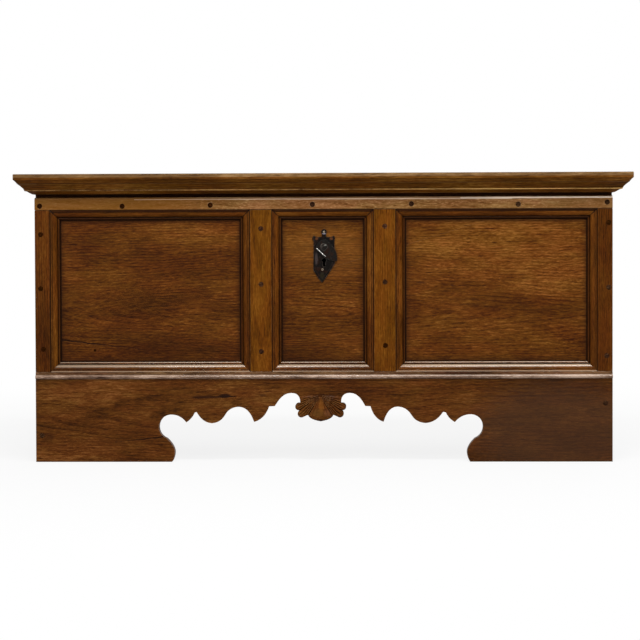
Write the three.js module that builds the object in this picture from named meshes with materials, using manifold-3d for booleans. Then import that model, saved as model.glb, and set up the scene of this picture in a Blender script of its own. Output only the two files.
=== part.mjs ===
// A low boarded oak chest with a hinged lid, a panelled front, a scalloped apron and an iron lock.
// Millimetres, +Z up. The front faces -Y, and the origin is the middle of the floor under the chest.
import * as THREE from 'three';
import { mergeVertices } from 'three/addons/utils/BufferGeometryUtils.js';
import Module from 'manifold-3d';

const wasm = await Module();
wasm.setup();

// Driving dimensions of the whole chest
const carcaseWidth = 1380;
const carcaseDepth = 560;
const chestHeight = 689;
const plinthHeight = 199;
const lidOverhang = 44;
const boardThickness = 22;
const stripThickness = 16;
const backThickness = 20;
const fit = 0.3;
const overrun = 5;

// Front strips
const railHeight = 30;
const railTopBelowLid = 33;
const railTopRound = 7;
const railChamfer = 1.5;
const stileWidth = 36;
const muntinWidth = 52;
const muntinCentre = 148;
const beadHeight = 9.5;
const beadProjection = 5;
const beadFilletHeight = 7;

// Panel mouldings
const mouldingWidth = 23;
const mouldingDepth = 15;

// Apron along the plinth's lower edge, set out from its own centre line, its scallops drifting to the left
const apronCentre = -6;
const apronDrift = 6.5;
const footInner = 357;
const hollowRadius = 30;
const shellHalfWidth = 61;
const shellDrop = 68;

// End boards
const endFrontFoot = 92.4;
const endBackFoot = 125;
const endArchHeight = 56;

// Back and floor
const backFloorGap = 150;
const backJointHeight = 420;
const floorThickness = 18;
const floorAbovePlinth = 15;
const cleatWidth = 30;
const cleatHeight = 30;
const cleatInset = 40;

// Lid
const lidBoardThickness = 22;
const lidFillet = 13;
const lidEdgeRound = 1;
const corniceHeight = 25;
const corniceStep = 1.5;
const corniceStepOverhang = 22;
const corniceTopOverhang = 36;
const corniceToe = 4;
const corniceClearance = 1;
const battenWidth = 52;
const battenThickness = 19;
const battenFromEnd = 390;
const battenEndGap = 8;

// Strap hinges
const hingeFromEnd = 210;
const pinRadius = 2;
const boreClearance = 0.3;
const knuckleRadius = 4.5;
const knuckleOffset = 5;
const strapKnuckle = 18;
const plateKnuckle = 11;
const knuckleGap = 0.5;
const ironThickness = 3;
const strapLength = 340;
const strapWidth = 34;
const strapTipWidth = 22;
const strapNeckLength = 34;
const spearWidth = 40;
const spearLength = 62;
const plateLength = 112;
const pinHeadRadius = 3.6;
const pinHeadThickness = 1.6;
const strapSlotGap = 1.5;

// Wooden pegs of the top rail
const pegRadius = 6;
const pegProud = 0.8;

// Lock furniture on the centre panel
const lockCentre = 3;
const escutcheonWidth = 51;
const escutcheonAboveKeyhole = 59;
const escutcheonBelowKeyhole = 53;
const escutcheonTaper = 29;
const escutcheonRightTaper = 45;
const escutcheonTipOffset = -5;
const finialRadius = 6.5;
const finialAboveKeyhole = 68;
const plateIron = 2;
const keyholeRadius = 5.5;
const keyholeSlotWidth = 6;
const keyholeSlotLength = 15;
const pivotAboveKeyhole = 32;
const coverWidth = 32;
const coverAbove = 16;
const coverShoulder = 5;
const coverBelow = 46;
const coverGap = 0.4;
const coverRestDegrees = 42;
const rivetRadius = 2;
const rivetHeadRadius = 4.6;
const nailRadius = 1.3;
const nailHeadRadius = 3.2;
const nailHeadHeight = 1.6;
const nailDepth = 15;
const nailBelowKeyhole = 22;
const lowerNailOffset = -4;

// Lock works inside the chest
const lockPlateWidth = 210;
const lockPlateBelowKeyhole = 42;
const lockPlateBelowLid = 19;
const lockPlateThickness = 2.5;
const boltBelowLid = 42;
const keyholeBelowBolt = 143;
const boltStandOff = 13;
const boltBar = 8;
const boltThickness = 6;
const boltTipGap = 3;
const boltTravel = 14;
const boltTailSpare = 2;
const boltArmWidth = 14;
const boltArmOuter = 62;
const footAboveKeyhole = 15;
const boltFootHeight = 12;
const boltFootReach = 8;
const talonWidth = 8;
const talonDepth = 6;
const guideWidth = 5;
const guideWall = 3;
const guideGap = 1;
const guideOuter = 82;
const guideInner = 20;
const springSpan = 50;
const springRise = 10;
const springThickness = 1.2;
const caseWall = 1.5;
const caseLeft = 80;
const caseRight = 45;
const caseBelowKeyhole = 36;
const caseBelowBolt = 25;
const caseDepth = 24;
const keyTipRadius = 5;
const stapleWidth = 6;
const stapleEyeDepth = 10;
const stapleEyeHeight = 12;
const stapleWall = 4.5;
const staplePlateWidth = 46;
const staplePlateDepth = 24;

// How finely round shapes are cut
const curveSteps = 6;
const roundSides = 20;
const pegSides = 14;

// Places worked out from the driving dimensions
const halfWidth = carcaseWidth / 2;
const frontY = lidOverhang - (carcaseDepth + lidOverhang + knuckleOffset + knuckleRadius) / 2;
const backY = frontY + carcaseDepth;
const panelY = frontY + stripThickness + fit;
const frontInnerY = panelY + boardThickness;
const backInnerY = backY - backThickness;
const lidUnderside = chestHeight - lidBoardThickness;
const rimHeight = lidUnderside - fit;
const railTop = lidUnderside - railTopBelowLid;
const railBottom = railTop - railHeight;
const beadBottom = plinthHeight + fit;
const frameBottom = beadBottom + beadHeight + beadFilletHeight;
const endInnerX = halfWidth - boardThickness;
const floorHeight = plinthHeight + floorAbovePlinth;
const floorTop = floorHeight + floorThickness;
const battenCentre = halfWidth - battenFromEnd;
const hingeCentre = halfWidth - hingeFromEnd;
const boltHeight = lidUnderside - boltBelowLid;
const keyholeHeight = boltHeight - keyholeBelowBolt;
const pivotHeight = keyholeHeight + pivotAboveKeyhole;
const finialHeight = keyholeHeight + finialAboveKeyhole;

// Colours as the photograph shows them
const oakDark = woodMaterial(0x5c3616);
const oakPanel = woodMaterial(0x64391a);
const oakGolden = woodMaterial(0x80592c);
const oakOrange = woodMaterial(0x6e3f12);
const oakInside = woodMaterial(0x8a6a42);
const pegWood = woodMaterial(0x2c1a0c);
const iron = new THREE.MeshStandardMaterial({ color: 0x2b2420, roughness: 0.55, metalness: 0.8 });

function woodMaterial(color) {
  return new THREE.MeshStandardMaterial({ color, roughness: 0.5, metalness: 0 });
}

// Geometry helpers
function boxBetween(low, high) {
  const size = new THREE.Vector3().subVectors(high, low);
  const middle = new THREE.Vector3().addVectors(low, high).multiplyScalar(1 / 2);
  return new THREE.BoxGeometry(size.x, size.y, size.z).translate(middle.x, middle.y, middle.z);
}

function extrude(shape, depth) {
  return new THREE.ExtrudeGeometry(shape, { depth, bevelEnabled: false, curveSegments: curveSteps });
}

// An outline drawn in (x, z), given thickness between two places along Y
function extrudeAlongY(shape, lowY, highY) {
  return extrude(shape, highY - lowY).rotateX(Math.PI / 2).translate(0, highY, 0);
}

// An outline drawn in (y, z), given length between two places along X
function extrudeAlongX(shape, lowX, highX) {
  const turn = new THREE.Matrix4().makeBasis(
    new THREE.Vector3(0, 1, 0), new THREE.Vector3(0, 0, 1), new THREE.Vector3(1, 0, 0));
  return extrude(shape, highX - lowX).applyMatrix4(turn).translate(lowX, 0, 0);
}

function cylinderAlongX(radius, lowX, highX, y, z) {
  return new THREE.CylinderGeometry(radius, radius, highX - lowX, roundSides)
    .rotateZ(Math.PI / 2).translate((lowX + highX) / 2, y, z);
}

function cylinderAlongY(radius, lowY, highY, x, z) {
  return new THREE.CylinderGeometry(radius, radius, highY - lowY, pegSides)
    .translate(0, (lowY + highY) / 2, 0).translate(x, 0, z);
}

function toSolid(geometry) {
  const bare = geometry.clone();
  bare.deleteAttribute('normal');
  bare.deleteAttribute('uv');
  const merged = mergeVertices(bare);
  return new wasm.Manifold(new wasm.Mesh({
    numProp: 3,
    vertProperties: new Float32Array(merged.attributes.position.array),
    triVerts: new Uint32Array(merged.index.array),
  }));
}

function fromSolid(solid) {
  const mesh = solid.getMesh();
  const geometry = new THREE.BufferGeometry();
  geometry.setAttribute('position', new THREE.BufferAttribute(mesh.vertProperties, mesh.numProp));
  geometry.setIndex(new THREE.BufferAttribute(mesh.triVerts, 1));
  geometry.computeVertexNormals();
  return geometry;
}

function cut(body, ...tools) {
  return fromSolid(tools.reduce((solid, tool) => solid.subtract(toSolid(tool)), toSolid(body)));
}

function join(body, ...others) {
  return fromSolid(others.reduce((solid, other) => solid.add(toSolid(other)), toSolid(body)));
}

function common(body, other) {
  return fromSolid(toSolid(body).intersect(toSolid(other)));
}

// A strip with one outline all along and mitred ends. The outline is drawn in (across, forward).
// A mitre of 1 draws the end in by as much as a point lies across, -1 lets it out, 0 is square.
function mitredStrip(outline, length, startMitre, endMitre) {
  const geometry = extrude(outline, length);
  const points = geometry.attributes.position;
  for (let i = 0; i < points.count; i += 1) {
    const across = points.getX(i);
    const atEnd = points.getZ(i) > length / 2;
    points.setZ(i, atEnd ? length - endMitre * across : startMitre * across);
  }
  return geometry;
}

function laidAlong(geometry, across, forward, start) {
  const along = new THREE.Vector3().crossVectors(across, forward);
  const turn = new THREE.Matrix4().makeBasis(across, forward, along);
  return geometry.applyMatrix4(turn.setPosition(start));
}

function at(x, y, z) {
  return new THREE.Vector3(x, y, z);
}

// A table of points in shares, with each turned into a place
function eachPoint(table, spot) {
  return Object.fromEntries(Object.entries(table).map(([name, share]) => [name, spot(share)]));
}

const chest = new THREE.Group();
const carcase = new THREE.Group();
const lid = new THREE.Group();
chest.add(carcase, lid);

function place(group, name, geometry, material) {
  const mesh = new THREE.Mesh(geometry, material);
  mesh.name = name;
  group.add(mesh);
  return mesh;
}

// Wooden pegs in the top rail, as shares of the half width and of the rail's height
const railPegShares = [
  [-0.982, 0.33], [-0.695, 0.3], [-0.389, 0.36], [-0.035, 0.39], [0.307, 0.4], [0.675, 0.34], [0.981, 0.48],
];
const railPegs = railPegShares.map(([across, up]) => [across * halfWidth, railBottom + up * railHeight]);

function pegHoles() {
  return railPegs.map(([x, z]) =>
    cylinderAlongY(pegRadius + fit, frontY - overrun, frontInnerY + overrun, x, z));
}

function buildPegs() {
  railPegs.forEach(([x, z], index) => {
    const peg = cylinderAlongY(pegRadius, frontY - pegProud, frontInnerY, x, z);
    place(carcase, `rail_peg_${index + 1}`, peg, pegWood);
  });
}

// Plinth board. The apron's points are shares of the foot's inner edge and of the plinth's height.
const apronShares = {
  footTurn: [0.983, 0.04],
  footBulge: [0.98, 0.11],
  footShoulder: [0.98, 0.19],
  hollowStart: [1.031, 0.277],
  hollowCentre: [1.003, 0.42],
  hollowFall: [0.936, 0.558],
  outerCusp: [0.9, 0.476],
  peakApproach: [0.86, 0.518],
  peakOuter: [0.843, 0.593],
  peakInner: [0.826, 0.6],
  peakFall: [0.784, 0.472],
  lobeBottom: [0.717, 0.465],
  lobeTurn: [0.655, 0.472],
  archRise: [0.627, 0.558],
  archOuterTurn: [0.594, 0.661],
  archTop: [0.532, 0.663],
  archInnerTurn: [0.465, 0.661],
  innerCusp: [0.434, 0.48],
  stepApproach: [0.364, 0.518],
  stepOuter: [0.34, 0.668],
  stepInner: [0.303, 0.671],
  crownRise: [0.275, 0.759],
  crownTurn: [0.247, 0.829],
  crownTop: [0.196, 0.829],
};
const hollowTurnShare = 0.556;
const neckShares = [0.8, 0.66];
const upperLobeShares = { centre: [0.86, 0.515], radius: 0.14, turn: [0.6, -0.45] };
const lowerLobeShares = { centre: [0.76, 0.265], radius: 0.145, turn: [0.4, -0.62] };
const fanShares = { notch: [0.5, 0.228], side: [0.44, 0.06], tip: [0, 0] };

function apronPath() {
  const shellTip = plinthHeight * apronShares.crownTop[1] - shellDrop;
  const spot = ([across, up]) => [across * footInner, up * plinthHeight];
  const shellSpot = ([across, up]) => [across * shellHalfWidth, shellTip + up * shellDrop];
  const p = eachPoint(apronShares, spot);
  const path = new THREE.Path();
  path.moveTo(footInner, 0);
  path.quadraticCurveTo(...p.footTurn, ...p.footBulge);
  path.quadraticCurveTo(...p.footShoulder, ...p.hollowStart);
  const startAngle = Math.atan2(p.hollowStart[1] - p.hollowCentre[1], p.hollowStart[0] - p.hollowCentre[0]);
  path.absarc(...p.hollowCentre, hollowRadius, startAngle, Math.PI * hollowTurnShare, false);
  path.quadraticCurveTo(...p.hollowFall, ...p.outerCusp);
  path.quadraticCurveTo(...p.peakApproach, ...p.peakOuter);
  path.lineTo(...p.peakInner);
  path.quadraticCurveTo(...p.peakFall, ...p.lobeBottom);
  path.quadraticCurveTo(...p.lobeTurn, ...p.archRise);
  path.quadraticCurveTo(...p.archOuterTurn, ...p.archTop);
  path.quadraticCurveTo(...p.archInnerTurn, ...p.innerCusp);
  path.quadraticCurveTo(...p.stepApproach, ...p.stepOuter);
  path.lineTo(...p.stepInner);
  path.bezierCurveTo(...p.crownRise, ...p.crownTurn, ...p.crownTop);
  path.quadraticCurveTo(...shellSpot([neckShares[0], 1]), ...shellSpot(neckShares));
  for (const lobe of [upperLobeShares, lowerLobeShares]) {
    const [start, end] = lobe.turn.map((share) => share * Math.PI);
    path.absarc(...shellSpot(lobe.centre), lobe.radius * shellHalfWidth, start, end, true);
  }
  path.lineTo(...shellSpot(fanShares.notch));
  path.quadraticCurveTo(...shellSpot(fanShares.side), ...shellSpot(fanShares.tip));
  return path.getPoints(curveSteps);
}

function plinthShape() {
  const half = apronPath();
  const drift = (x) => {
    const along = THREE.MathUtils.clamp((x - shellHalfWidth) / (footInner - shellHalfWidth), 0, 1);
    return apronDrift * Math.sin(Math.PI * along) ** 2;
  };
  const moved = (point, side) =>
    new THREE.Vector2(apronCentre + side * point.x - drift(point.x), point.y);
  const left = half.map((point) => moved(point, -1));
  const right = half.slice(0, -1).reverse().map((point) => moved(point, 1));
  const outline = [
    new THREE.Vector2(-halfWidth, 0),
    ...left,
    ...right,
    new THREE.Vector2(halfWidth, 0),
    new THREE.Vector2(halfWidth, plinthHeight),
    new THREE.Vector2(-halfWidth, plinthHeight),
  ];
  return new THREE.Shape(outline);
}

function buildPlinth() {
  place(carcase, 'plinth_board', extrudeAlongY(plinthShape(), frontY, frontY + boardThickness), oakDark);
  const bead = new THREE.Shape();
  const inside = frontY + stripThickness;
  bead.moveTo(inside, beadBottom);
  bead.lineTo(inside, frameBottom);
  bead.lineTo(frontY, frameBottom);
  bead.lineTo(frontY, beadBottom + beadHeight);
  bead.absellipse(frontY, beadBottom + beadHeight / 2, beadProjection, beadHeight / 2, Math.PI / 2,
    Math.PI * 1.5, false, 0);
  place(carcase, 'base_bead', extrudeAlongX(bead, -halfWidth, halfWidth), oakGolden);
}

// Front: top rail, stiles and muntins over the front board
function railShape() {
  const back = frontY + stripThickness;
  const shape = new THREE.Shape();
  shape.moveTo(back, railBottom);
  shape.lineTo(back, railTop);
  shape.lineTo(frontY + railTopRound, railTop);
  shape.absarc(frontY + railTopRound, railTop - railTopRound, railTopRound, Math.PI / 2, Math.PI, false);
  shape.lineTo(frontY, railBottom + railChamfer);
  shape.lineTo(frontY + railChamfer, railBottom);
  return shape;
}

function upright(lowX, highX) {
  const low = at(lowX, frontY, frameBottom + fit);
  return boxBetween(low, at(highX, frontY + stripThickness, railBottom - fit));
}

function buildStrips() {
  const rail = extrudeAlongX(railShape(), -halfWidth, halfWidth);
  place(carcase, 'top_rail', cut(rail, ...pegHoles()), oakGolden);
  place(carcase, 'left_stile', upright(-halfWidth, stileWidth - halfWidth), oakOrange);
  place(carcase, 'right_stile', upright(halfWidth - stileWidth, halfWidth), oakOrange);
  for (const [name, side] of [['left_muntin', -1], ['right_muntin', 1]]) {
    const centre = side * muntinCentre;
    place(carcase, name, upright(centre - muntinWidth / 2, centre + muntinWidth / 2), oakOrange);
  }
}

// Panel mouldings: a fillet by the frame, a quirk, a wide ovolo and a bead by the panel
const mouldingShares = {
  panelEdge: [1, 0.12],
  beadFall: [1, 0.32],
  beadTop: [0.9, 0.36],
  beadTurn: [0.8, 0.42],
  innerQuirk: [0.76, 0.24],
  ovoloFoot: [0.72, 0.34],
  ovoloTurn: [0.66, 0.8],
  ovoloTop: [0.25, 0.86],
  quirkEdge: [0.25, 0.8],
  quirkFloor: [0.2, 0.8],
  filletInner: [0.2, 0.94],
  filletOuter: [0, 0.94],
};

function mouldingShape() {
  const spot = ([across, forward]) => [across * mouldingWidth, forward * mouldingDepth];
  const p = eachPoint(mouldingShares, spot);
  const shape = new THREE.Shape();
  shape.moveTo(0, 0);
  shape.lineTo(mouldingWidth, 0);
  shape.lineTo(...p.panelEdge);
  shape.quadraticCurveTo(...p.beadFall, ...p.beadTop);
  shape.quadraticCurveTo(...p.beadTurn, ...p.innerQuirk);
  shape.lineTo(...p.ovoloFoot);
  shape.quadraticCurveTo(...p.ovoloTurn, ...p.ovoloTop);
  shape.lineTo(...p.quirkEdge);
  shape.lineTo(...p.quirkFloor);
  shape.lineTo(...p.filletInner);
  shape.lineTo(...p.filletOuter);
  return shape;
}

function buildPanelMouldings() {
  const shape = mouldingShape();
  const forward = at(0, -1, 0);
  const y = panelY - fit;
  const low = frameBottom + fit;
  const high = railBottom - fit;
  const muntinEdge = muntinCentre + muntinWidth / 2;
  const openings = [
    ['left', stileWidth - halfWidth, -muntinEdge],
    ['centre', muntinWidth / 2 - muntinCentre, muntinCentre - muntinWidth / 2],
    ['right', muntinEdge, halfWidth - stileWidth],
  ];
  for (const [panel, left, right] of openings) {
    const lowX = left + fit;
    const highX = right - fit;
    const runs = [
      ['bottom', at(0, 0, 1), at(lowX, y, low), highX - lowX],
      ['right', at(-1, 0, 0), at(highX, y, low), high - low],
      ['top', at(0, 0, -1), at(highX, y, high), highX - lowX],
      ['left', at(1, 0, 0), at(lowX, y, high), high - low],
    ];
    for (const [side, across, start, length] of runs) {
      const along = new THREE.Vector3().crossVectors(across, forward);
      const seat = start.clone().addScaledVector(along, fit / 2);
      const strip = mitredStrip(shape, length - fit, 1, 1);
      place(carcase, `${panel}_panel_${side}_moulding`, laidAlong(strip, across, forward, seat), oakOrange);
    }
  }
}

// Boards of the box: front, ends, back and floor
function keyholeShape() {
  const shape = new THREE.Shape();
  const half = keyholeSlotWidth / 2;
  const turn = Math.asin(half / keyholeRadius);
  const slotBottom = keyholeHeight - keyholeSlotLength;
  shape.absarc(lockCentre, keyholeHeight, keyholeRadius, -Math.PI / 2 + turn, Math.PI * 1.5 - turn, false);
  shape.lineTo(lockCentre - half, slotBottom);
  shape.lineTo(lockCentre + half, slotBottom);
  return shape;
}

function keyholeCutter() {
  return extrudeAlongY(keyholeShape(), frontY - overrun, frontInnerY + lockPlateThickness + overrun);
}

const nailPlaces = [
  ['escutcheon_top_nail', lockCentre, finialHeight],
  ['escutcheon_bottom_nail', lockCentre + lowerNailOffset, keyholeHeight - nailBelowKeyhole],
];

function nailHoles() {
  const depth = panelY + nailDepth + fit;
  const nails = nailPlaces.map(([, x, z]) => cylinderAlongY(nailRadius + fit, frontY - overrun, depth, x, z));
  const rivet = cylinderAlongY(rivetRadius + fit, frontY - overrun, depth, lockCentre, pivotHeight);
  return [...nails, rivet];
}

function endBoardShape() {
  const lowerFront = frontY + boardThickness + fit;
  const upperFront = frontInnerY + fit;
  const back = backInnerY - fit;
  const archBack = back - endBackFoot;
  const archFront = lowerFront + endFrontFoot;
  const shape = new THREE.Shape();
  shape.moveTo(lowerFront, 0);
  shape.lineTo(archFront, 0);
  shape.quadraticCurveTo(archFront, endArchHeight, archFront + endArchHeight, endArchHeight);
  shape.lineTo(archBack - endArchHeight, endArchHeight);
  shape.quadraticCurveTo(archBack, endArchHeight, archBack, 0);
  shape.lineTo(back, 0);
  shape.lineTo(back, rimHeight);
  shape.lineTo(upperFront, rimHeight);
  shape.lineTo(upperFront, plinthHeight);
  shape.lineTo(lowerFront, plinthHeight);
  return shape;
}

function buildBoards() {
  const front = boxBetween(at(-halfWidth, panelY, beadBottom), at(halfWidth, frontInnerY, rimHeight));
  place(carcase, 'front_board', cut(front, keyholeCutter(), ...pegHoles(), ...nailHoles()), oakPanel);
  place(carcase, 'left_end_board', extrudeAlongX(endBoardShape(), -halfWidth, -endInnerX), oakPanel);
  place(carcase, 'right_end_board', extrudeAlongX(endBoardShape(), endInnerX, halfWidth), oakPanel);
  const backBoard = (low, high) =>
    boxBetween(at(-halfWidth, backInnerY, low), at(halfWidth, backY, high));
  const upperBack = backBoard(backJointHeight + fit, rimHeight);
  place(carcase, 'lower_back_board', backBoard(backFloorGap, backJointHeight), oakInside);
  place(carcase, 'upper_back_board', cut(upperBack, ...strapSlots()), oakInside);
  const floorFront = frontInnerY + fit;
  const floorBack = backInnerY - fit;
  const floorMiddle = (floorFront + floorBack) / 2;
  const floorX = endInnerX - fit;
  const boards = [
    ['front_floor_board', floorFront, floorMiddle],
    ['back_floor_board', floorMiddle + fit, floorBack],
  ];
  for (const [name, low, high] of boards) {
    place(carcase, name, boxBetween(at(-floorX, low, floorHeight), at(floorX, high, floorTop)), oakInside);
  }
  for (const [name, side] of [['left_floor_cleat', -1], ['right_floor_cleat', 1]]) {
    const outer = side * floorX;
    const inner = side * (floorX - cleatWidth);
    const low = at(Math.min(outer, inner), floorFront + cleatInset, floorHeight - fit - cleatHeight);
    const high = at(Math.max(outer, inner), floorBack - cleatInset, floorHeight - fit);
    place(carcase, name, boxBetween(low, high), oakInside);
  }
}

// Lid: three boards with a moulded edge, a cornice below the edge and two battens
const lidEdgeShares = { coveEnd: 0.98, coveTurn: [0.89, 0.24] };

function lidEdge(shape, outward, edge) {
  const across = (share) => edge + outward * share;
  const bottom = lidUnderside;
  const [turnOut, turnUp] = lidEdgeShares.coveTurn;
  shape.lineTo(across(corniceTopOverhang), bottom);
  shape.quadraticCurveTo(across(turnOut * lidOverhang), bottom + turnUp * lidBoardThickness,
    across(lidEdgeShares.coveEnd * lidOverhang), chestHeight - lidFillet - lidEdgeRound);
  shape.lineTo(across(lidOverhang), chestHeight - lidFillet);
  shape.lineTo(across(lidOverhang), chestHeight - lidEdgeRound);
  shape.lineTo(across(lidOverhang - lidEdgeRound), chestHeight);
}

function lidProfileAcross() {
  const shape = new THREE.Shape();
  shape.moveTo(backY, chestHeight);
  shape.lineTo(backY, lidUnderside);
  lidEdge(shape, -1, frontY);
  return shape;
}

function lidProfileAlong() {
  const half = new THREE.Shape();
  half.moveTo(0, lidUnderside);
  lidEdge(half, 1, halfWidth);
  const right = half.getPoints(curveSteps).filter((point) => point.x > 0);
  const left = right.map((point) => new THREE.Vector2(-point.x, point.y)).reverse();
  return new THREE.Shape([...right, ...left]);
}

function buildLidBoards() {
  const reach = halfWidth + lidOverhang + overrun;
  const across = extrudeAlongX(lidProfileAcross(), -reach, reach);
  const along = extrudeAlongY(lidProfileAlong(), frontY - lidOverhang - overrun, backY + overrun);
  const whole = common(across, along);
  const names = ['lid_front_board', 'lid_middle_board', 'lid_back_board'];
  const lidFrontY = frontY - lidOverhang;
  const width = (backY - lidFrontY) / names.length;
  names.forEach((name, index) => {
    const low = index === 0 ? lidFrontY - overrun : lidFrontY + index * width + fit / 2;
    const high = index === names.length - 1 ? backY + overrun : lidFrontY + (index + 1) * width - fit / 2;
    const slice = boxBetween(at(-reach, low, lidUnderside - overrun), at(reach, high, chestHeight + overrun));
    place(lid, name, common(whole, slice), oakDark);
  });
}

const corniceShares = { coveTurn: [0.44, 0.56], lowerTurn: [0.61, 0.21] };

// The cornice's outline in (outward, up), from its inner face round to the bevel under the lid
function corniceShape(inner) {
  const top = lidUnderside - fit;
  const bottom = top - corniceHeight + fit;
  const stepTop = bottom + corniceHeight / 2;
  const turn = corniceShares;
  const shape = new THREE.Shape();
  shape.moveTo(inner, bottom);
  shape.lineTo(corniceToe, bottom);
  shape.quadraticCurveTo(turn.lowerTurn[0] * corniceStepOverhang, bottom + turn.lowerTurn[1] * corniceHeight,
    corniceStepOverhang, stepTop - corniceStep);
  shape.lineTo(corniceStepOverhang, stepTop);
  const coveX = corniceStepOverhang + turn.coveTurn[0] * (corniceTopOverhang - corniceStepOverhang);
  shape.quadraticCurveTo(coveX, stepTop + turn.coveTurn[1] * (top - stepTop), corniceTopOverhang, top);
  shape.lineTo(inner, top);
  return shape;
}

function buildCornice() {
  const up = at(0, 0, 1);
  const frontInner = corniceClearance - stripThickness;
  const front = mitredStrip(corniceShape(frontInner), carcaseWidth, -1, -1);
  place(lid, 'front_cornice', laidAlong(front, at(0, -1, 0), up, at(halfWidth, frontY, 0)), oakDark);
  const right = mitredStrip(corniceShape(corniceClearance), carcaseDepth - fit, 0, -1);
  const left = mitredStrip(corniceShape(corniceClearance), carcaseDepth - fit, -1, 0);
  const mitreGap = fit;
  place(lid, 'right_cornice', laidAlong(right, at(1, 0, 0), up, at(halfWidth + mitreGap, backY, 0)), oakDark);
  place(lid, 'left_cornice',
    laidAlong(left, at(-1, 0, 0), up, at(-halfWidth - mitreGap, frontY + fit, 0)), oakDark);
}

function buildBattens() {
  for (const [name, side] of [['left_lid_batten', -1], ['right_lid_batten', 1]]) {
    const centre = side * battenCentre;
    const low = at(centre - battenWidth / 2, frontInnerY + battenEndGap, rimHeight - battenThickness);
    const high = at(centre + battenWidth / 2, backInnerY - battenEndGap, rimHeight);
    place(lid, name, boxBetween(low, high), oakDark);
  }
}

// Strap hinges: a strap under the lid, a plate on the outside of the back, and a pin
const hingeY = backY + knuckleOffset;
const hingeZ = lidUnderside - fit - ironThickness / 2;
const strapShares = { widest: 0.13, spearWaist: 0.3 };

function strapSlots() {
  const half = strapKnuckle / 2 + strapSlotGap;
  return [-hingeCentre, hingeCentre].map((x) =>
    boxBetween(at(x - half, backInnerY - overrun, hingeZ - ironThickness / 2 - strapSlotGap),
      at(x + half, backY + overrun, rimHeight + overrun)));
}

function strapShape() {
  const waist = strapLength - spearLength;
  const halves = [
    [strapKnuckle / 2, 0],
    [strapKnuckle / 2, strapNeckLength],
    [strapWidth / 2, strapNeckLength + strapShares.widest * strapLength],
    [strapTipWidth / 2, waist],
    [spearWidth / 2, waist + strapShares.spearWaist * spearLength],
    [0, strapLength],
  ];
  const right = halves.map(([half, back]) => new THREE.Vector2(half, -back));
  const left = halves.slice(0, -1).map(([half, back]) => new THREE.Vector2(-half, -back)).reverse();
  return new THREE.Shape([...right, ...left]);
}

function platePoints() {
  const half = strapKnuckle / 2 + knuckleGap + plateKnuckle;
  const low = hingeZ - plateLength;
  return [
    [half, hingeZ],
    [half, low + spearLength],
    [strapTipWidth / 2, low + spearLength * (1 - strapShares.spearWaist)],
    [strapTipWidth / 2, low + spearLength * strapShares.spearWaist],
    [0, low],
  ];
}

function buildHinge(side, centre) {
  const strap = extrude(strapShape(), ironThickness)
    .translate(0, hingeY, hingeZ - ironThickness / 2);
  const half = strapKnuckle / 2;
  const boreRadius = pinRadius + boreClearance;
  const outer = half + knuckleGap + plateKnuckle;
  const bore = cylinderAlongX(boreRadius, -outer - overrun, outer + overrun, hingeY, hingeZ);
  const strapBarrel = cylinderAlongX(knuckleRadius, -half, half, hingeY, hingeZ);
  const strapIron = cut(join(strap, strapBarrel), bore);
  place(lid, `${side}_hinge_strap`, strapIron.translate(centre, 0, 0), iron);

  const right = platePoints().map(([x, z]) => new THREE.Vector2(x, z));
  const left = platePoints().slice(0, -1).map(([x, z]) => new THREE.Vector2(-x, z)).reverse();
  const leafBack = backY + fit;
  const leaf = extrudeAlongY(new THREE.Shape([...left, ...right]), leafBack, leafBack + ironThickness);
  const barrels = [-1, 1].map((turn) => {
    const inner = turn * (half + knuckleGap);
    const end = turn * outer;
    return cylinderAlongX(knuckleRadius, Math.min(inner, end), Math.max(inner, end), hingeY, hingeZ);
  });
  const clear = half + knuckleGap;
  const window = boxBetween(at(-clear, backY - overrun, hingeZ - knuckleRadius - knuckleGap),
    at(clear, hingeY + overrun, hingeZ + knuckleRadius + overrun));
  const plateIronwork = cut(join(leaf, ...barrels), bore, window);
  place(carcase, `${side}_hinge_plate`, plateIronwork.translate(centre, 0, 0), iron);

  const headStart = outer + knuckleGap;
  const pin = new THREE.LatheGeometry([
    new THREE.Vector2(0, -headStart - pinHeadThickness),
    new THREE.Vector2(pinHeadRadius, -headStart - pinHeadThickness / 2),
    new THREE.Vector2(pinHeadRadius, -headStart),
    new THREE.Vector2(pinRadius, -headStart),
    new THREE.Vector2(pinRadius, headStart),
    new THREE.Vector2(pinHeadRadius, headStart),
    new THREE.Vector2(pinHeadRadius, headStart + pinHeadThickness / 2),
    new THREE.Vector2(0, headStart + pinHeadThickness),
  ], roundSides).rotateZ(-Math.PI / 2).translate(centre, hingeY, hingeZ);
  place(carcase, `${side}_hinge_pin`, pin, iron);
}

// Lock furniture outside: escutcheon, its nails, the swinging cover and its rivet
const escutcheonShares = {
  cornerTurn: [0.96, 1],
  shoulderDip: [0.62, 0.93],
  finialFoot: [0.19, 0.97],
  taperTurn: [0.95, 0.94],
  taperWaist: [0.3, 0.2],
};

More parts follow.
